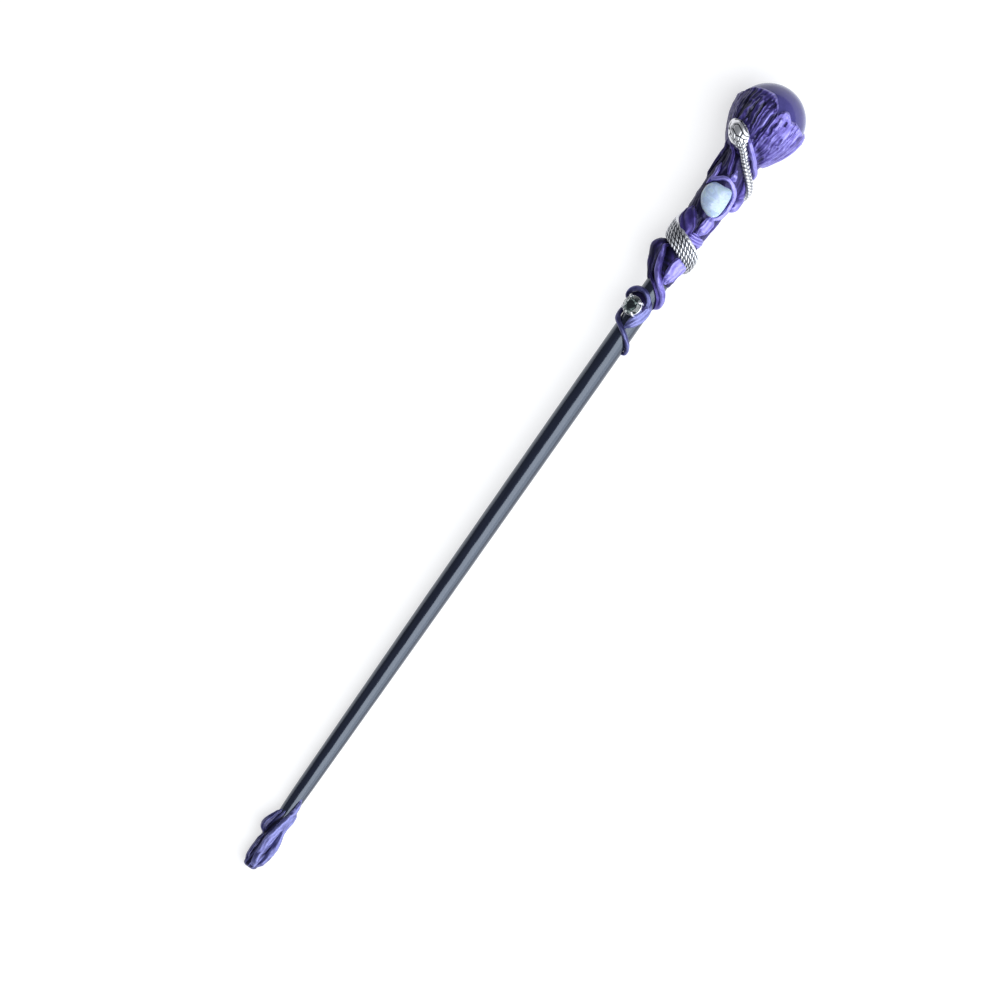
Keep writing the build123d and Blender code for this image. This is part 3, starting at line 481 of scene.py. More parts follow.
def between(nt, fac, lo, hi):
    n = nt.nodes.new("ShaderNodeMapRange")
    n.inputs["To Min"].default_value = lo
    n.inputs["To Max"].default_value = hi
    nt.links.new(fac, n.inputs["Value"])
    return n.outputs["Result"]


def bump(nt, bsdf, height, strength, distance):
    b = nt.nodes.new("ShaderNodeBump")
    b.inputs["Strength"].default_value = strength
    b.inputs["Distance"].default_value = distance
    nt.links.new(height, b.inputs["Height"])
    nt.links.new(b.outputs["Normal"], bsdf.inputs["Normal"])
    return b


def attribute(nt, name):
    a = nt.nodes.new("ShaderNodeAttribute")
    a.attribute_name = name
    return a.outputs["Fac"]


def clay_material(name, dark, mid, light, pale, rough=(0.30, 0.50), coat=0.28):
    m, nt, bsdf = node_material(name)
    tone = attribute(nt, "tone")
    mottle = object_noise(nt, 420, 5, stretch=(0.4, 1, 1))
    fine = object_noise(nt, 1700, 3, stretch=(0.5, 1, 1))
    mixed = maths(nt, "ADD", tone, maths(nt, "MULTIPLY", maths(nt, "SUBTRACT", mottle, 0.5), 0.35))
    colour = ramp(nt, mixed, [(0.0, dark), (0.32, mid), (0.62, light), (1.0, pale)])
    nt.links.new(colour, bsdf.inputs["Base Color"])
    nt.links.new(between(nt, mottle, rough[0], rough[1]), bsdf.inputs["Roughness"])
    bsdf.inputs["Metallic"].default_value = 0.45
    bsdf.inputs["Specular IOR Level"].default_value = 0.4
    bsdf.inputs["Specular Tint"].default_value = (0.75, 0.72, 1.0, 1)
    bsdf.inputs["Coat Weight"].default_value = coat
    bsdf.inputs["Coat Roughness"].default_value = 0.16
    bsdf.inputs["Sheen Weight"].default_value = 0.10
    bsdf.inputs["Sheen Roughness"].default_value = 0.4
    bsdf.inputs["Sheen Tint"].default_value = (0.62, 0.6, 1.0, 1)
    height = maths(nt, "ADD", maths(nt, "MULTIPLY", mottle, 0.7), maths(nt, "MULTIPLY", fine, 0.3))
    bump(nt, bsdf, height, 0.35, 0.00025)
    return m


def silver_material(name):
    m, nt, bsdf = node_material(name)
    tone = attribute(nt, "tone")
    smear = object_noise(nt, 900, 4)
    mixed = maths(nt, "ADD", tone, maths(nt, "MULTIPLY", maths(nt, "SUBTRACT", smear, 0.5), 0.22))
    colour = ramp(nt, mixed, [(0.0, (0.010, 0.011, 0.018)), (0.3, (0.10, 0.105, 0.125)), (0.55, (0.42, 0.43, 0.46)), (0.85, (0.74, 0.75, 0.78)), (1.0, (0.87, 0.87, 0.90))])
    nt.links.new(colour, bsdf.inputs["Base Color"])
    bsdf.inputs["Metallic"].default_value = 0.85
    nt.links.new(between(nt, smear, 0.24, 0.40), bsdf.inputs["Roughness"])
    bump(nt, bsdf, object_noise(nt, 2200, 3), 0.12, 0.00015)
    return m


def lacquer_material(name):
    m, nt, bsdf = node_material(name)
    grain = object_noise(nt, 900, 5, stretch=(0.03, 1, 1))
    cloud = object_noise(nt, 60, 3, stretch=(0.25, 1, 1))
    mixed = maths(nt, "ADD", maths(nt, "MULTIPLY", grain, 0.6), maths(nt, "MULTIPLY", cloud, 0.4))
    colour = ramp(nt, mixed, [(0.25, (0.0075, 0.009, 0.018)), (0.5, (0.012, 0.0145, 0.028)), (0.8, (0.022, 0.026, 0.046))])
    nt.links.new(colour, bsdf.inputs["Base Color"])
    nt.links.new(between(nt, mixed, 0.14, 0.26), bsdf.inputs["Roughness"])
    edge = nt.nodes.new("ShaderNodeLayerWeight")
    edge.inputs["Blend"].default_value = 0.5
    dull = nt.nodes.new("ShaderNodeMapRange")
    for socket, value in (("From Min", 0.55), ("From Max", 0.95), ("To Min", 0.62), ("To Max", 0.04)):
        dull.inputs[socket].default_value = value
    nt.links.new(edge.outputs["Facing"], dull.inputs["Value"])
    nt.links.new(dull.outputs["Result"], bsdf.inputs["Specular IOR Level"])
    bsdf.inputs["Specular Tint"].default_value = (0.72, 0.84, 1.0, 1)
    nt.links.new(dull.outputs["Result"], bsdf.inputs["Coat Weight"])
    bsdf.inputs["Coat Roughness"].default_value = 0.12
    bsdf.inputs["Coat Tint"].default_value = (0.85, 0.92, 1.0, 1)
    bump(nt, bsdf, grain, 0.10, 0.00012)
    return m


def ball_material(name):
    m, nt, bsdf = node_material(name)
    faint = object_noise(nt, 120, 3)
    body = ramp(nt, faint, [(0.3, (0.062, 0.056, 0.23)), (0.7, (0.100, 0.088, 0.31))])
    # the base colour goes from the indigo body to a paler blue towards the ball's silhouette, by facing: a painted rim
    # reflection
    edge = nt.nodes.new("ShaderNodeLayerWeight")
    edge.inputs["Blend"].default_value = 0.35
    mix = nt.nodes.new("ShaderNodeMix")
    mix.data_type = "RGBA"
    painted_rim = nt.nodes.new("ShaderNodeMapRange")
    painted_rim.inputs["From Min"].default_value = 0.45
    painted_rim.inputs["From Max"].default_value = 1.0
    nt.links.new(edge.outputs["Facing"], painted_rim.inputs["Value"])
    nt.links.new(painted_rim.outputs["Result"], mix.inputs["Factor"])
    nt.links.new(body, mix.inputs["A"])
    mix.inputs["B"].default_value = (0.21, 0.25, 0.54, 1)
    nt.links.new(mix.outputs["Result"], bsdf.inputs["Base Color"])
    bsdf.inputs["Transmission Weight"].default_value = 0.22
    bsdf.inputs["IOR"].default_value = 1.46
    nt.links.new(between(nt, faint, 0.10, 0.18), bsdf.inputs["Roughness"])
    bsdf.inputs["Specular IOR Level"].default_value = 0.4
    bsdf.inputs["Coat Weight"].default_value = 0.15
    bsdf.inputs["Coat Roughness"].default_value = 0.05
    return m


def moonstone_material(name):
    m, nt, bsdf = node_material(name)
    veins = object_noise(nt, 230, 7, stretch=(1.0, 0.5, 1), rough=0.62, distort=2.2)
    cloud = object_noise(nt, 85, 3)
    mixed = maths(nt, "ADD", maths(nt, "MULTIPLY", veins, 0.75), maths(nt, "MULTIPLY", cloud, 0.35))
    colour = ramp(nt, mixed, [(0.36, (0.32, 0.40, 0.58)), (0.45, (0.45, 0.55, 0.76)), (0.50, (0.37, 0.47, 0.64)), (0.55, (0.50, 0.61, 0.80)), (0.63, (0.45, 0.58, 0.67)), (0.74, (0.68, 0.77, 0.87))])
    nt.links.new(colour, bsdf.inputs["Base Color"])
    bsdf.inputs["Subsurface Weight"].default_value = 0.35
    bsdf.inputs["Subsurface Radius"].default_value = (0.5, 0.75, 1.0)
    bsdf.inputs["Subsurface Scale"].default_value = 0.002
    bsdf.inputs["Roughness"].default_value = 0.24
    bsdf.inputs["Coat Weight"].default_value = 0.35
    bsdf.inputs["Coat Roughness"].default_value = 0.22
    bump(nt, bsdf, veins, 0.14, 0.0002)
    return m


def gem_material(name):
    m, nt, bsdf = node_material(name)
    # the ramp's dark greens are the stone's own smoky colour; its pale end, reached through the facet tones and this
    # noise, is painted glint
    depth = object_noise(nt, 620, 2, distort=1.0)
    mixed = maths(nt, "ADD", attribute(nt, "tone"), maths(nt, "MULTIPLY", maths(nt, "SUBTRACT", depth, 0.5), 1.3))
    colour = ramp(nt, mixed, [(0.1, (0.012, 0.018, 0.022)), (0.42, (0.06, 0.085, 0.085)), (0.72, (0.20, 0.27, 0.26)), (1.0, (0.56, 0.66, 0.64))])
    nt.links.new(colour, bsdf.inputs["Base Color"])
    bsdf.inputs["Transmission Weight"].default_value = 0.25
    bsdf.inputs["IOR"].default_value = 1.72
    bsdf.inputs["Roughness"].default_value = 0.03
    return m


NAVY, INDIGO, VIOLET, LAVENDER = (0.006, 0.006, 0.022), (0.032, 0.024, 0.130), (0.094, 0.072, 0.325), (0.29, 0.265, 0.69)
CLAY = clay_material("violet_clay", NAVY, INDIGO, VIOLET, LAVENDER)
CLAY_DEEP = clay_material("deep_violet_clay", NAVY, (0.018, 0.013, 0.075), (0.050, 0.034, 0.20), (0.17, 0.14, 0.48), (0.40, 0.56), 0.10)
CLAY_TIP = clay_material("blue_violet_clay", NAVY, (0.034, 0.034, 0.115), (0.075, 0.078, 0.225), (0.18, 0.19, 0.44))
SILVER = silver_material("antique_silver")
LACQUER = lacquer_material("navy_lacquer")
BALL = ball_material("indigo_glass")
STONE = moonstone_material("milky_moonstone")
GEM = gem_material("smoky_gem")


# ------------------------------------------------------------------ dowel
def lathe(name, xs, radius, axis_y, around, field, material, slot, replaces):
    """Turned piece with a sculpted surface. field(x, angle, point) gives (height, tone)."""
    turn = np.linspace(0, 360, around, endpoint=False)
    X, A = np.meshgrid(xs, turn, indexing="ij")
    R = np.broadcast_to(radius[:, None], X.shape)
    axis = np.broadcast_to(np.asarray(axis_y)[:, None] if np.ndim(axis_y) else axis_y, X.shape)
    centre = np.stack([X, axis, np.zeros_like(X)], -1)
    rad = radial(A)
    base = centre + rad * R[..., None]
    height, tone = field(X, A, base)
    rings = base + rad * height[..., None]
    verts, faces, tones = closed_tube(rings, tone)
    return new_piece(name, verts, faces, tones, material, slot, replaces)


xs = np.unique(np.concatenate([np.linspace(4.0, 30, 40), np.linspace(30, 319.7, 420), [4.15, 319.55]]))
r = soft_read(DOWEL, xs, 6.0)
r = np.where(xs < 4.1, r * 0.9, r)
lathe("dowel", xs, r, 0.0, 96,
      lambda X, A, P: (0.012 * lumps(P * [0.15, 1, 1], 2.2, 3), np.full(X.shape, 0.5)),
      LACQUER, "lacquered_wood", ["shaft"])


# ------------------------------------------------------------------ ball
def sphere_rings(centre, radius, rows, around):
    t = np.linspace(0.004, math.pi - 0.004, rows)
    a = np.linspace(0, 2 * math.pi, around, endpoint=False)
    T, A = np.meshgrid(t, a, indexing="ij")
    return np.stack([centre[0] - radius * np.cos(T), centre[1] - radius * np.sin(T) * np.sin(A),
                     centre[2] + radius * np.sin(T) * np.cos(A)], -1)


rings = sphere_rings((BALL_X, BALL_Y, 0), BALL_R, 120, 160)
verts, faces, tones = closed_tube(rings, np.full(rings.shape[:2], 0.5))
new_piece("crystal_ball_glass", verts, faces, tones, BALL, "tinted_glass", ["crystal_ball"])


# ------------------------------------------------------------------ cup and petals
def bark(P, A, count, seed, depth):
    """Fine uneven flutes running along the wand."""
    sway = lumps(P * [0.35, 1, 1], 9.0, seed) * 0.9
    w = np.cos(np.radians(A) * count + sway * 2.4)
    w2 = np.cos(np.radians(A) * count * 2.3 + sway * 3.1 + 1.7)
    return depth * (0.75 * w + 0.45 * w2)


lathe("cup_base", np.linspace(319.7, 330.0, 50), soft_read(CUP, np.linspace(319.7, 330.0, 50), 0.5), BALL_Y, 160,
      lambda X, A, P: (bark(P, A, 22, 21, 0.10) - 0.10, 0.35 + bark(P, A, 22, 21, 0.35)),
      CLAY, "violet_clay", ["ball_cup"])

TIPS = {2: 343.0, 3: 339.4, 4: 341.0, 5: 341.6, 6: 344.0, 7: 341.2}
BACK_LINES = []
g = np.random.default_rng(11)
for k in range(34):
    a0 = 78 + 196 * (k + g.uniform(-0.3, 0.3)) / 34
    x0, x1 = g.uniform(324, 329), g.uniform(334, 340.5)
    sway = g.uniform(-4, 4)
    BACK_LINES.append((g.uniform(0.4, 0.8), g.choice([-0.62, 0.42]) * g.uniform(0.7, 1.1),
                       [(x1, a0 + sway * 0.4), ((x0 + x1) / 2, a0 - sway * 0.3), (x0, a0 + sway * 0.2)]))


def rim_x(angle, number, a0, a1):
    front = np.interp(angle, [p[0] for p in RIM_FRONT], [p[1] for p in RIM_FRONT])
    u = (angle - a0) / (a1 - a0) * 2 - 1
    tip = TIPS.get(number, 344.0)
    scallop = tip - 3.0 * np.abs(u) ** 2.2
    if number == 1:
        return np.where(angle > -66, front, 339.8 - 1.2 * ease(-66, -96, angle))
    if number == 2:
        return front
    if number == 3:
        w = ease(62, 76, angle)
        return front * (1 - w) + scallop * w
    return scallop


def petal(name, number, a0, a1, nodes):
    na = int((a1 - a0) * 3.2)
    nv = 150
    ang = np.linspace(a0, a1, na)
    v = np.linspace(0, 1, nv) ** 0.85
    V, A = np.meshgrid(v, ang, indexing="ij")
    top = rim_x(ang, number, a0, a1)
    X = 320.7 + (top[None] - 320.7) * V
    ball = np.sqrt(np.maximum(BALL_R ** 2 - (X - BALL_X) ** 2, 0))
    inner = np.where(X < 330.0, np.maximum(soft_read(CUP, X, 0.5) - 0.15, 0), ball - 0.06)
    inner = np.maximum(inner, np.where(X > 326.0, ball - 0.06, 0))
    outer = soft_read(PETAL, X, 0.8)
    full = np.maximum(outer - inner, 0.25)
    from_rim = (top[None] - X) * 1.0
    side = np.radians(np.minimum(A - a0, a1 - A)) * outer
    rim_round = np.sqrt(np.clip(1 - (1 - np.clip(from_rim / 1.3, 0, 1)) ** 2, 0, 1))
    side_round = 0.35 + 0.65 * np.sqrt(np.clip(1 - (1 - np.clip(side / 0.7, 0, 1)) ** 2, 0, 1))
    P = np.stack([X, BALL_Y + 0 * X, 0 * X], -1) + radial(A) * outer[..., None]
    Xw = X + 0.35 * lumps(P, 3.2, 41)
    Aw = A + np.degrees(0.30 * lumps(P, 2.6, 43) / outer)
    tooled = line_field(Xw, Aw, CALYX_LINES + BACK_LINES, lambda x: float(read(PETAL, x)))
    fine = bark(P, A, 34, 5, 0.085) + 0.04 * lumps(P * [0.5, 1, 1], 1.3, 9)
    low = ease(321, 325, X)
    H = (tooled * 0.95 + fine) * (0.35 + 0.65 * low)
    H = np.maximum(H, -(full - 0.10))
    thick = (full + H) * rim_round * side_round + 0.02
    # the rim itself is a soft roll
    thick = thick + 0.28 * np.exp(-((from_rim - 1.0) / 0.8) ** 2) * side_round
    outside = np.stack([X, BALL_Y + 0 * X, 0 * X], -1) + radial(A) * (inner + thick)[..., None]
    inside = np.stack([X, BALL_Y + 0 * X, 0 * X], -1) + radial(A) * (inner - 0.10)[..., None]
    lit = ease(-35, 30, (A + 180) % 360 - 180) * (1 - ease(95, 130, A))
    tone = 0.37 + 0.24 * lit + 0.62 * tooled + 1.7 * fine + 0.08 * lumps(P, 6.0, 31)
    tone = tone + 0.12 * np.exp(-((from_rim - 0.9) / 1.1) ** 2) - 0.30 * (1 - side_round)
    nvert = nv * na
    faces = ring_faces(nv, na, 0, False) + [tuple(reversed(f)) for f in ring_faces(nv, na, nvert, False)]
    for j in range(na - 1):
        for i in (0, nv - 1):
            faces.append((i * na + j, i * na + j + 1, nvert + i * na + j + 1, nvert + i * na + j))
    for i in range(nv - 1):
        for j in (0, na - 1):
            faces.append((i * na + j, (i + 1) * na + j, nvert + (i + 1) * na + j, nvert + i * na + j))
    verts = np.vstack([outside.reshape(-1, 3), inside.reshape(-1, 3)])
    tones = np.concatenate([tone.reshape(-1), tone.reshape(-1)])
    return new_piece(name, verts, faces, tones, CLAY, "violet_clay", nodes)


petal("calyx_petal_arch", 1, -96.0, 4.6, ["cup_petal_1", "cup_petal_8"])
petal("calyx_petal_right", 2, 4.2, 48.2, ["cup_petal_2"])
petal("calyx_petal_side", 3, 47.8, 93.2, ["cup_petal_3"])
petal("calyx_petal_back_1", 4, 92.8, 138.4, ["cup_petal_4"])
petal("calyx_petal_back_2", 5, 138.0, 183.4, ["cup_petal_5"])
petal("calyx_petal_back_3", 6, 183.0, 228.4, ["cup_petal_6"])
petal("calyx_petal_back_4", 7, 228.0, 264.4, ["cup_petal_7"])

# ------------------------------------------------------------------ handle body
CORE_LINES = [
    (0.6, 0.35, [(318.5, -38), (314, -30), (309, -33)]),
    (0.7, -0.4, [(319, -55), (313, -50), (307, -58)]),
    (0.6, -0.35, [(317, -12), (312.5, 0), (309.5, 10)]),
    (0.6, 0.3, [(293, -20), (289, -14), (286.5, -22)]),
    (0.5, 0.28, [(295, -48), (290, -40), (286, -44)]),
    (0.7, -0.4, [(295, 10), (290, 6), (284, 12)]),
    (0.6, -0.35, [(294, -70), (288, -64), (284, -72)]),
    (0.6, 0.3, [(305, 96), (298, 100), (290, 92)]),
]
g = np.random.default_rng(5)
for k in range(22):
    a0 = 95 + 170 * k / 22
    x0 = g.uniform(284, 306)
    CORE_LINES.append((g.uniform(0.5, 0.9), g.choice([-0.4, 0.32]),
                       [(x0, a0), (x0 + 5, a0 - 9 + g.uniform(-3, 3)), (x0 + 11, a0 - 16)]))


def core_field(X, A, P):
    wrapped = (A + 180) % 360 - 180
    tooled = line_field(X, wrapped, CORE_LINES, lambda x: float(read(CORE, x)))
    tooled = tooled + line_field(X, A % 360, CORE_LINES[8:], lambda x: float(read(CORE, x)))
    fine = bark(P, A + 2.2 * X, 11, 44, 0.10) + 0.10 * lumps(P, 4.0, 17) + 0.03 * lumps(P, 1.2, 19)
    return tooled * 0.9 + fine - 0.05, 0.27 + 0.55 * tooled + 0.7 * fine


xs = np.linspace(279.4, 320.4, 260)
axis, _ = skin(xs)
lathe("handle_body", xs, soft_read(CORE, xs, 1.0), axis, 220, core_field, CLAY_DEEP, "violet_clay", ["handle_core"])
# the collar's lower edge is rounded down to the dowel
lip = np.sin(np.linspace(0.03, math.pi / 2, 24))
xs = np.concatenate([264.3 + 1.6 * (1 - np.sqrt(1 - lip ** 2)), np.linspace(266.1, 280.6, 86)])
collar_r = soft_read(COLLAR, xs, 0.8)
collar_r[:24] = 4.1 + (collar_r[:24] - 4.1) * lip
lathe("handle_skirt", xs, collar_r, 0.0, 160,
      lambda X, A, P: (0.09 * lumps(P, 3.0, 27) + 0.05 * np.cos(np.radians(A * 9) + X), 0.25 + 0.3 * lumps(P, 3.0, 27)),
      CLAY_DEEP, "violet_clay", ["handle_collar"])


# ------------------------------------------------------------------ strands
def rolled(seed, groove=0.055, count=5, base=0.52, lump=0.045, twist=9.0):
    """Surface of a rolled clay rope: shallow lengthwise tool marks and soft lumps."""
    def shape(R, T, W, H, P, whole):
        marks = np.cos(np.radians(T) * count + R * math.radians(twist) + 1.5 * lumps(P, 6.0, seed))
        soft = 0.7 * lumps(P, 4.2, seed + 1) + 0.4 * lumps(P, 1.5, seed + 2)
        # the tone gets 0.20 added on the top of the rope and taken off underneath: painted light on top, painted shade
        # below
        top = np.sin(np.radians(T))
        height = groove * marks + lump * soft
        return height, base + 0.16 * marks + 0.10 * soft + 0.20 * np.clip(top, -1, 1)
    return shape


def strand(node, seed, material=None, around=44, step=0.25, name=None, taper=2.6, size=1.0, **kw):
    rings, tone = tube(COURSES[node], rolled(seed, **kw), around, step, taper, size)
    verts, faces, tones = closed_tube(rings, tone)
    return new_piece(name or node + "_clay", verts, faces, tones, material or CLAY, "violet_clay", [node])


strand("cup_lip_strand", 101, base=0.74)
strand("neck_strand_left", 103, CLAY_DEEP, base=0.42, size=0.85)
strand("neck_strand_front", 105, CLAY_DEEP, base=0.55, size=0.72)
strand("neck_strand_back", 107)
strand("neck_flame_leaf", 109, base=0.78)
strand("bezel_side_strand", 111, base=0.72)
strand("moonstone_bezel", 113, base=0.84)
strand("handle_leaf_right", 117, base=0.66, groove=0.10, count=7)
strand("handle_leaf_left", 119, CLAY_DEEP, base=0.50, groove=0.16, count=7, around=72)
strand("bulb_right", 127, base=0.68, groove=0.12, lump=0.08, count=8, around=64)
strand("bulb_back", 129, CLAY_DEEP, groove=0.10)
strand("upper_vine", 131, base=0.55, groove=0.05, count=3, taper=3.0)
# under_vine is a narrow dark strand tucked beside the upper vine's left side, standing for the shade there: painted
# shade
strand("under_vine", 133, CLAY_DEEP, base=0.36)
strand("gem_bezel", 137, CLAY_TIP, base=0.46, groove=0.05, count=4, taper=1.8, size=0.88)
strand("gem_leaf", 139, CLAY_TIP, base=0.66, groove=0.10, count=7)
strand("lower_vine", 141, CLAY_TIP, base=0.40, count=3, taper=1.6, size=0.84)


def lobe_shape(R, T, W, H, P, whole):
    soft = lumps(P, 5.0, 151)
    spot = np.array([303.2, -6.2, 3.6])
    hollow = np.exp(-(np.linalg.norm(P - spot, axis=-1) / 0.75) ** 2)
    return 0.12 * soft - 0.55 * hollow, 0.76 + 0.16 * soft - 0.8 * hollow


rings, tone = tube(COURSES["side_lobe"], lobe_shape, 56, 0.2)
verts, faces, tones = closed_tube(rings, tone)
new_piece("side_lobe_clay", verts, faces, tones, CLAY, "violet_clay", ["side_lobe"])


FILL = [(315.2, 50, -0.4, 1.6, 1.2), (313, 62, 0.0, 3.0, 2.2), (310, 82, 0.3, 4.2, 3.0), (306.5, 92, 0.4, 4.4, 3.0),
        (303.5, 90, 0.1, 3.2, 2.4), (301.5, 88, -0.2, 1.6, 1.4)]
rings, tone = tube(FILL, rolled(181, base=0.50), 44, 0.25, 2.0)
verts, faces, tones = closed_tube(rings, tone)
new_piece("neck_bed_clay", verts, faces, tones, CLAY_DEEP, "violet_clay")


def wrap_shape(R, T, W, H, P, whole):
    across = np.cos(np.radians(T)) * W / 2
    lines = np.cos((across * 1.9 + R * 0.55) * 2.6)
    return 0.10 * lines + 0.04 * lumps(P, 2.0, 161), 0.74 + 0.20 * lines


rings, tone = tube(COURSES["handle_wrap"], wrap_shape, 56, 0.2)
verts, faces, tones = closed_tube(rings, tone)
new_piece("handle_wrap_clay", verts, faces, tones, CLAY, "violet_clay", ["handle_wrap"])


def bulb_shape(R, T, W, H, P, whole):
    soft = lumps(P, 6.5, 171)
    seam = np.exp(-(((T - 62 - R * 1.4 + 180) % 360 - 180) / 9.0) ** 2)
    marks = np.cos(np.radians(T) * 13 + R * 0.22 + 1.8 * lumps(P, 5.0, 175))
    # the last tone term paints the top of the bulb lighter and its underside darker: painted light and shade
    return 0.14 * soft + 0.045 * marks - 0.35 * seam, 0.36 + 0.14 * soft + 0.12 * marks - 0.35 * seam + 0.10 * np.sin(np.radians(T))


rings, tone = tube(COURSES["bulb_left"], bulb_shape, 72, 0.2)
verts, faces, tones = closed_tube(rings, tone)
new_piece("bulb_left_clay", verts, faces, tones, CLAY_DEEP, "violet_clay", ["bulb_left"])

# ------------------------------------------------------------------ tip
xs = np.linspace(0.0, 26.5, 140)
r = soft_read(SLEEVE, xs, 0.5) * np.sqrt(np.clip(1 - (1 - np.clip((xs + 0.35) / 1.3, 0, 1)) ** 2, 0, 1))
r = r * (1 - ease(19.5, 26.5, xs)) + (read(DOWEL, xs) - 0.25) * ease(19.5, 26.5, xs)
lathe("tip_clay", xs, r, 0.0, 120,
      lambda X, A, P: (bark(P, A - 3.4 * X, 6, 61, 0.12) + 0.05 * lumps(P, 2.2, 63),
                       0.34 + bark(P, A - 3.4 * X, 6, 61, 0.45)),
      CLAY_TIP, "violet_clay", ["tip_sleeve"])
strand("tip_strand_main", 201, CLAY_TIP, base=0.62, groove=0.09, count=4)
strand("tip_strand_right", 203, CLAY_TIP, base=0.52, groove=0.09, count=4)
strand("tip_knob", 205, CLAY_TIP, base=0.42, groove=0.10, count=5)
strand("tip_strand_left", 207, CLAY_TIP, base=0.34, groove=0.07)
strand("tip_strand_back", 209, CLAY_TIP, base=0.5, groove=0.09)
strand("tip_strand_back_right", 211, CLAY_TIP, base=0.5, groove=0.09)


# ------------------------------------------------------------------ snake
SNAKE_HEAD = 11.2      # length of the head along the course


def snake_shape(R, T, W, H, P, whole):
    top = np.sin(np.radians(T))
    side = np.cos(np.radians(T))                    # -1..1 across, seen from above
    across = side * W / 2
    broad = ease(4.0, 5.4, W)
    # body: raised slanted scales, staggered row by row; two rows of plates along the slim neck
    a1, b1 = (R - SNAKE_HEAD - 1.2 * across) / 1.5, across / 1.5 + 0.5
    a1 = a1 + 0.5 * (np.floor(b1) % 2)
    b2 = across / 1.55 + 1.0
    a2 = (R - SNAKE_HEAD + 0.35 * np.abs(across)) / 1.45 + 0.5 * (np.floor(b2) % 2)

    def raised(a, b, la, lb):
        da = np.abs(a - np.floor(a) - 0.5) * 2
        db = np.abs(b - np.floor(b) - 0.5) * 2
        inside = 1 - np.maximum(ease(la, min(la + 0.42, 0.97), da), ease(lb, 0.97, db))
        dome = np.sqrt(np.clip(1 - 0.55 * da ** 2 - 0.35 * db ** 2, 0, 1))
        return inside, inside * dome

    in1, sc1 = raised(a1, b1, 0.34, 0.60)
    in2, sc2 = raised(a2, b2, 0.46, 0.60)
    inside = in1 * broad + in2 * (1 - broad)
    scale = sc1 * broad + sc2 * (1 - broad)
    rim = ease(-0.70, -0.92, side) * broad * ease(-0.75, -0.3, top)
    scale, inside = np.maximum(scale, rim * 0.95), np.maximum(inside, rim)
    # low is 1 over most of the section and falls to 0 on the snake's underside, where it dims the scales: painted shade
    # under the body
    low = ease(-0.75, -0.25, top)
    sunk = 0.20 + 0.22 * (1 - broad)
    body_h, body_t = 0.30 * scale - 0.12, sunk + (0.95 - sunk) * inside * (0.55 + 0.45 * scale) * (0.4 + 0.6 * low)
    # head: broad plates parted by cut lines
    u, v = R, across + 0.6

    def cut(points, half=0.17):
        best = np.full(R.shape, 1e9)
        for (u0, v0), (u1, v1) in zip(points, points[1:]):
            du, dv = u1 - u0, v1 - v0
            t = np.clip(((u - u0) * du + (v - v0) * dv) / (du * du + dv * dv), 0, 1)
            best = np.minimum(best, np.hypot(u - u0 - t * du, v - v0 - t * dv))
        return np.exp(-(best / half) ** 3)

    lines = cut([(3.9, 0.0), (4.7, -1.3), (7.2, -1.35), (8.3, 0.0), (7.2, 1.35), (4.7, 1.3), (3.9, 0.0)], 0.21)
    for s in (-1, 1):
        lines = np.maximum(lines, cut([(2.0, 0.9 * s), (3.0, 1.9 * s), (5.2, 2.7 * s), (7.4, 3.0 * s)], 0.15))
        lines = np.maximum(lines, cut([(7.2, 1.35 * s), (8.4, 2.0 * s), (9.0, 3.0 * s)], 0.16))
        lines = np.maximum(lines, cut([(8.3, 0.0), (9.4, 0.9 * s), (10.2, 0.5 * s), (10.9, 1.1 * s)], 0.15))
        lines = np.maximum(lines, cut([(9.4, 0.9 * s), (9.6, 2.1 * s)], 0.15))
        lines = np.maximum(lines, cut([(5.9, 2.9 * s), (6.1, 3.9 * s)], 0.2))
    eye = sum(np.exp(-(np.hypot((u - 3.9) / 1.2, v - 2.55 * s) / 0.46) ** 4) for s in (-1, 1))
    lines = lines * ease(-0.1, 0.35, top)
    brow = sum(np.exp(-(np.hypot((u - 5.0) / 2.4, (v - 2.0 * s) / 0.62)) ** 2) for s in (-1, 1))
    plate = np.exp(-(np.hypot((u - 6.0) / 2.0, v / 1.1)) ** 4)
    mouth = np.exp(-((top + 0.12) / 0.10) ** 2) * (u < 8.5)
    head_h = (0.45 * brow + 0.16 * plate) * (top > 0) - 0.34 * lines - 0.30 * mouth + 0.18 * eye
    head_t = 0.98 - 0.85 * np.maximum(lines, mouth) - 0.6 * eye
    w = ease(SNAKE_HEAD - 0.9, SNAKE_HEAD - 0.3, R)
    return head_h * (1 - w) + body_h * w, head_t * (1 - w) + body_t * w


# the tail's tip stays under the clay lobe that covers it
COURSES["snake"] = COURSES["snake"][:-2] + [(270.2, 545, 0.0, 2.0, 1.2)]
rings, tone = tube(COURSES["snake"], snake_shape, 176, 0.125, crowd=0.55)
verts, faces, tones = closed_tube(rings, tone)
new_piece("snake_silver", verts, faces, tones, SILVER, "antique_silver", ["snake"])

# ------------------------------------------------------------------ moonstone
stone_rows = 60
t = np.linspace(0, 1, stone_rows)
# outline seen from above: (x, y)
STONE_EDGE = np.array([
    (306.3, 4.3), (304.02, 5.75), (300.99, 5.85), (298.52, 4.95), (296.52, 3.39), (295.1, 1.36), (294.56, -0.82),
    (295.03, -2.82), (296.5, -4.05), (298.93, -4.48), (301.98, -4.45), (304.78, -4.15), (306.8, -3.4), (307.62, -2.0),
    (307.6, 0.02), (307.15, 2.3),
])
mid_x, mid_y = 301.1, 0.65
n = len(STONE_EDGE)
edge = []
for i in range(n):
    p0, p1, p2, p3 = (STONE_EDGE[(i + k) % n] for k in (-1, 0, 1, 2))
    for q in np.arange(9) / 9:
        edge.append(0.5 * (2 * p1 + (p2 - p0) * q + (2 * p0 - 5 * p1 + 4 * p2 - p3) * q ** 2
                           + (3 * p1 - p0 - 3 * p2 + p3) * q ** 3))
edge = np.array(edge)
ox, oy = edge[:, 0], edge[:, 1]
rings = []
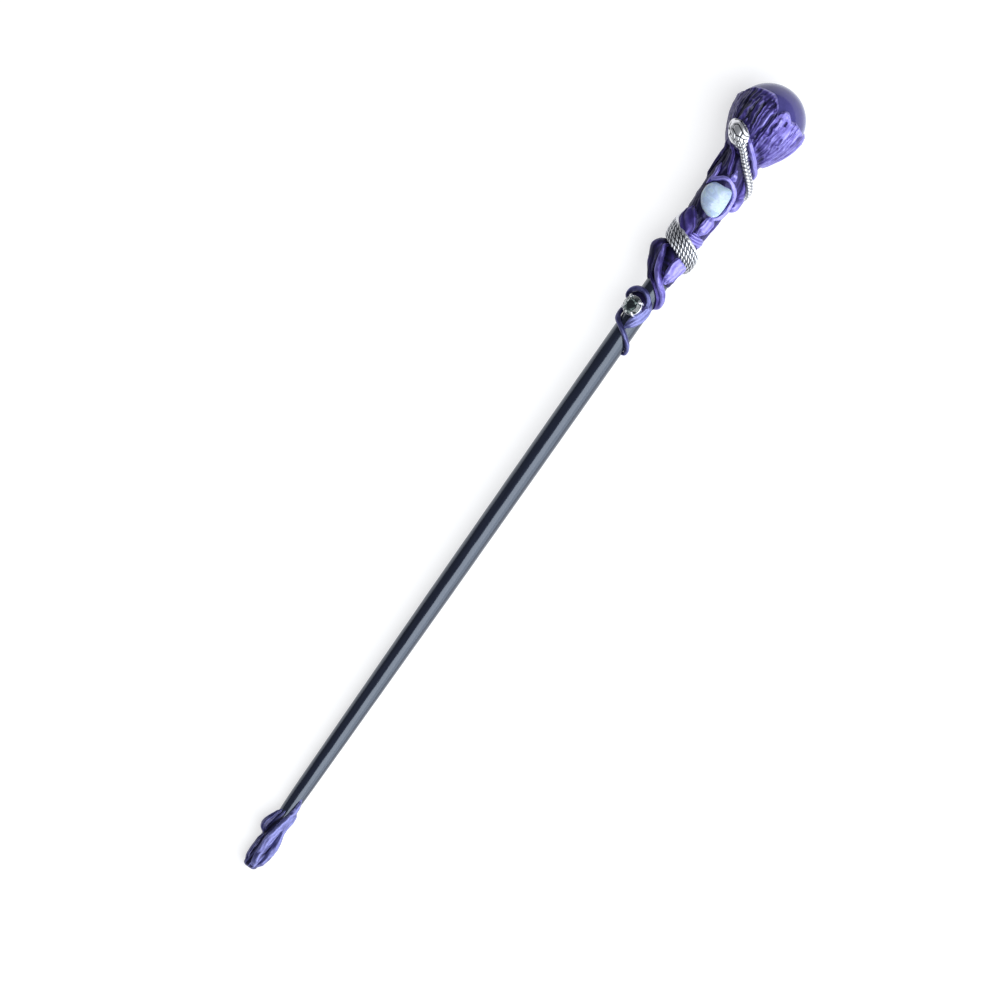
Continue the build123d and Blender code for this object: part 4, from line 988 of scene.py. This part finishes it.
for k in t:
    if k < 0.16:
        s, z = 0.95 + 0.05 * k / 0.16, 4.0 + 1.5 * k / 0.16
    else:
        q = (k - 0.16) / 0.84 * math.pi / 2
        s, z = math.cos(q) ** 0.78, 5.5 + 2.95 * math.sin(q) ** 1.1
    s = max(s, 0.01)
    rings.append(np.stack([mid_x + (ox - mid_x) * s, mid_y + (oy - mid_y) * s, np.full_like(ox, z)], -1))
rings = np.array(rings)
rings = rings + 0.07 * lumps(rings, 4.2, 501)[..., None] * np.array([0, 0, 1.0])
verts, faces, tones = closed_tube(rings, np.full(rings.shape[:2], 0.5))
new_piece("moonstone_cabochon", verts, faces, tones, STONE, "moonstone", ["moonstone"])

# ------------------------------------------------------------------ gem and its setting
GEM_X, GEM_ANGLE, GEM_GIRDLE = 251.5, -28.0, 6.6
gem_out = radial(np.array(GEM_ANGLE))
gem_side = np.cross(gem_out, [1.0, 0, 0])       # towards the wand's left


def gem_point(a, radius, height):
    a = np.radians(a)
    return (np.array([GEM_X, 0, 0]) + gem_out * (GEM_GIRDLE + height)
            + np.array([1.0, 0, 0]) * radius * np.cos(a) + gem_side * radius * np.sin(a))


GEM_R = 3.5
pts = [gem_point(22.5 + 45 * k, 1.75, 1.12) for k in range(8)]
pts += [gem_point(45 * k, 2.62, 0.80) for k in range(8)]
pts += [gem_point(22.5 * k, GEM_R, 0.06) for k in range(16)] + [gem_point(22.5 * k, GEM_R, -0.13) for k in range(16)]
pts += [gem_point(45 * k, 1.5, -1.2) for k in range(8)] + [gem_point(0, 0.01, -1.8)]
bm = bmesh.new()
for p in pts:
    bm.verts.new(tuple(p))
hull = bmesh.ops.convex_hull(bm, input=bm.verts)
bmesh.ops.dissolve_limit(bm, angle_limit=math.radians(1.5), verts=bm.verts, edges=bm.edges)
bm.verts.ensure_lookup_table()
g = np.random.default_rng(8)
gv, gf, gt = [], [], []
# each facet gets a random tone from dark to pale: painted glints and dark reflections on the facets
for f in bm.faces:
    facet_glint = float(np.clip(g.normal(0.56, 0.28), 0.12, 1.0))
    gf.append(list(range(len(gv), len(gv) + len(f.verts))))
    gv += [tuple(v.co) for v in f.verts]
    gt += [float(np.clip(facet_glint + g.normal(0, 0.12), 0, 1)) for _ in f.verts]
bm.free()
new_piece("gem_brilliant", np.array(gv), gf, gt, GEM, "smoky_gem", ["gem"], smooth=False)

profile = [(0.02, -2.35), (3.15, -2.35), (3.4, -2.1), (3.76, -1.05), (3.84, -0.55), (3.8, -0.16), (3.62, -0.12),
           (3.46, -0.30), (1.8, -1.3), (0.02, -1.95)]
around = 120
rings = np.array([[gem_point(360 * j / around, rr, hh) for j in range(around)] for rr, hh in profile])
verts, faces, tones = closed_tube(rings, np.repeat(np.array([[0.3], [0.4], [0.7], [0.85], [0.9], [0.95], [0.8], [0.4], [0.3], [0.25]]), around, 1))
all_v, all_f, all_t = [verts], list(faces), [tones]
offset = len(verts)
for k in range(4):
    a = 40 + 90 * k
    path = [(3.7, -1.9, 0.42), (3.9, -0.9, 0.47), (3.95, -0.1, 0.50), (3.82, 0.42, 0.52), (3.48, 0.76, 0.52), (3.12, 0.98, 0.46), (2.86, 1.06, 0.28)]
    mid = np.array([gem_point(a, q[0], q[1]) for q in path])
    rad = np.array([q[2] for q in path])
    fine_t = np.linspace(0, len(path) - 1, 36)
    mid = np.stack([np.interp(fine_t, range(len(path)), mid[:, c]) for c in range(3)], -1)
    mid[1:-1] = (mid[:-2] + mid[1:-1] * 2 + mid[2:]) / 4
    rad = np.interp(fine_t, range(len(path)), rad)
    along = unit(np.gradient(mid, axis=0))
    side = unit(gem_point(a + 90, 1, 0) - gem_point(a + 90, 0, 0))
    up = unit(np.cross(along, side))
    ang = np.linspace(0, 2 * np.pi, 20, endpoint=False)
    ring = (mid[:, None] + rad[:, None, None] * (np.cos(ang)[None, :, None] * side + np.sin(ang)[None, :, None] * up[:, None]))
    v2, f2, t2 = closed_tube(ring, np.full(ring.shape[:2], 0.9))
    all_v.append(v2)
    all_f += [tuple(i + offset for i in f) for f in f2]
    all_t.append(t2)
    offset += len(v2)
new_piece("gem_claw_setting", np.vstack(all_v), all_f, np.concatenate(all_t), SILVER, "antique_silver", ["gem_setting"])

pad_profile = [(0.02, 2.3), (2.9, 2.3), (3.9, 2.5), (4.3, 3.2), (4.2, 3.9), (3.8, 4.24), (0.02, 4.24)]
rows = []
for rr, hh in pad_profile:
    rows.append([gem_point(3 * j, rr * (1 + 0.03 * math.cos(math.radians(9 * j))), hh - GEM_GIRDLE) for j in range(120)])
rings = np.array(rows)
fine_t = np.linspace(0, len(rows) - 1, 50)
rings = np.stack([np.stack([np.interp(fine_t, range(len(rows)), rings[:, j, c]) for c in range(3)], -1) for j in range(120)], 1)
verts, faces, tones = closed_tube(rings, np.full(rings.shape[:2], 0.3))
verts = verts + 0.05 * lumps(verts, 2.0, 77)[:, None] * gem_out
new_piece("gem_pad_clay", verts, faces, tones, CLAY_DEEP, "violet_clay", ["gem_pad"])

rows = []
for rr, hh in [(0.02, 1.2), (3.6, 1.2), (4.9, 1.8), (5.5, 3.0), (5.2, 4.3), (4.4, 5.3), (3.2, 5.7), (0.02, 5.7)]:
    rows.append([gem_point(3 * j, rr * (1 + 0.04 * math.cos(math.radians(6 * j))), hh - GEM_GIRDLE - 1.3) for j in range(120)])
rings = np.array(rows)
fine_t = np.linspace(0, len(rows) - 1, 60)
rings = np.stack([np.stack([np.interp(fine_t, range(len(rows)), rings[:, j, c]) for c in range(3)], -1) for j in range(120)], 1)
verts, faces, tones = closed_tube(rings, np.full(rings.shape[:2], 0.28))
verts = verts + np.array([1.6, 0, 0]) + 0.5 * gem_side + 0.08 * lumps(verts, 2.0, 79)[:, None] * gem_out
new_piece("gem_bed_clay", verts, faces, tones, CLAY_DEEP, "violet_clay")

# ------------------------------------------------------------------ floor, light and camera
me = bpy.data.meshes.new("floor")
me.from_pydata([(-6, -6, 0), (6, -6, 0), (6, 6, 0), (-6, 6, 0)], [], [(0, 1, 2, 3)])
floor = bpy.data.objects.new("floor", me)
bpy.context.scene.collection.objects.link(floor)
fm, nt, bsdf = node_material("pale_floor")
bsdf.inputs["Base Color"].default_value = (0.42, 0.42, 0.43, 1)
bsdf.inputs["Emission Color"].default_value = (1.0, 1.0, 1.0, 1)
bsdf.inputs["Emission Strength"].default_value = 0.68
bsdf.inputs["Roughness"].default_value = 0.75
bsdf.inputs["Specular IOR Level"].default_value = 0.2
floor.data.materials.append(fm)


def area(name, at, aim, size, size_y, power, colour=(1, 1, 1)):
    light = bpy.data.lights.new(name, "AREA")
    light.shape = "RECTANGLE"
    light.size, light.size_y = size, size_y
    light.energy = power
    light.color = colour
    ob = bpy.data.objects.new(name, light)
    ob.location = at
    ob.rotation_euler = (Vector(aim) - Vector(at)).to_track_quat("-Z", "Y").to_euler()
    bpy.context.scene.collection.objects.link(ob)
    return ob


area("softbox_right", (0.0, -1.42, 2.0), (0.0, -1.42, 0.0), 2.6, 2.6, 88, (0.95, 0.975, 1.0))
area("side_panel", (0.0, -3.2, 1.15), (0.0, 0.0, 0.3), 3.0, 2.2, 60, (0.90, 0.95, 1.0))

world = bpy.data.worlds.new("studio")
bpy.context.scene.world = world
world.use_nodes = True
bg = next(n for n in world.node_tree.nodes if n.type == "BACKGROUND")
bg.inputs["Color"].default_value = (0.80, 0.84, 0.92, 1)
bg.inputs["Strength"].default_value = 0.14

cam_data = bpy.data.cameras.new("camera")
cam_data.sensor_width = 36
cam_data.sensor_fit = "HORIZONTAL"
FRAME_WIDTH, DISTANCE = 0.370, 5.0
cam_data.lens = 36 * DISTANCE / FRAME_WIDTH
cam_data.clip_start, cam_data.clip_end = 0.05, 30
cam_data.dof.use_dof = False
cam = bpy.data.objects.new("camera", cam_data)
bpy.context.scene.collection.objects.link(cam)
c, s = math.cos(LEAN), math.sin(LEAN)
ex, ey, ez = Vector((c, 0, s)), Vector((0, 1, 0)), Vector((-s, 0, c))
right = 0.57383 * ex - 0.81898 * ey
up = 0.81898 * ex + 0.57383 * ey
target = Vector(wand_to_row(np.array([164.54, 1.65, 0.0])))
m = Matrix((right, up, ez)).transposed().to_4x4()
m.translation = target + ez * DISTANCE
cam.matrix_world = m
bpy.context.scene.camera = cam
bpy.context.scene.view_settings.view_transform = "Standard"
bpy.context.scene.view_settings.look = "None"
bpy.context.scene.view_settings.exposure = 0.0
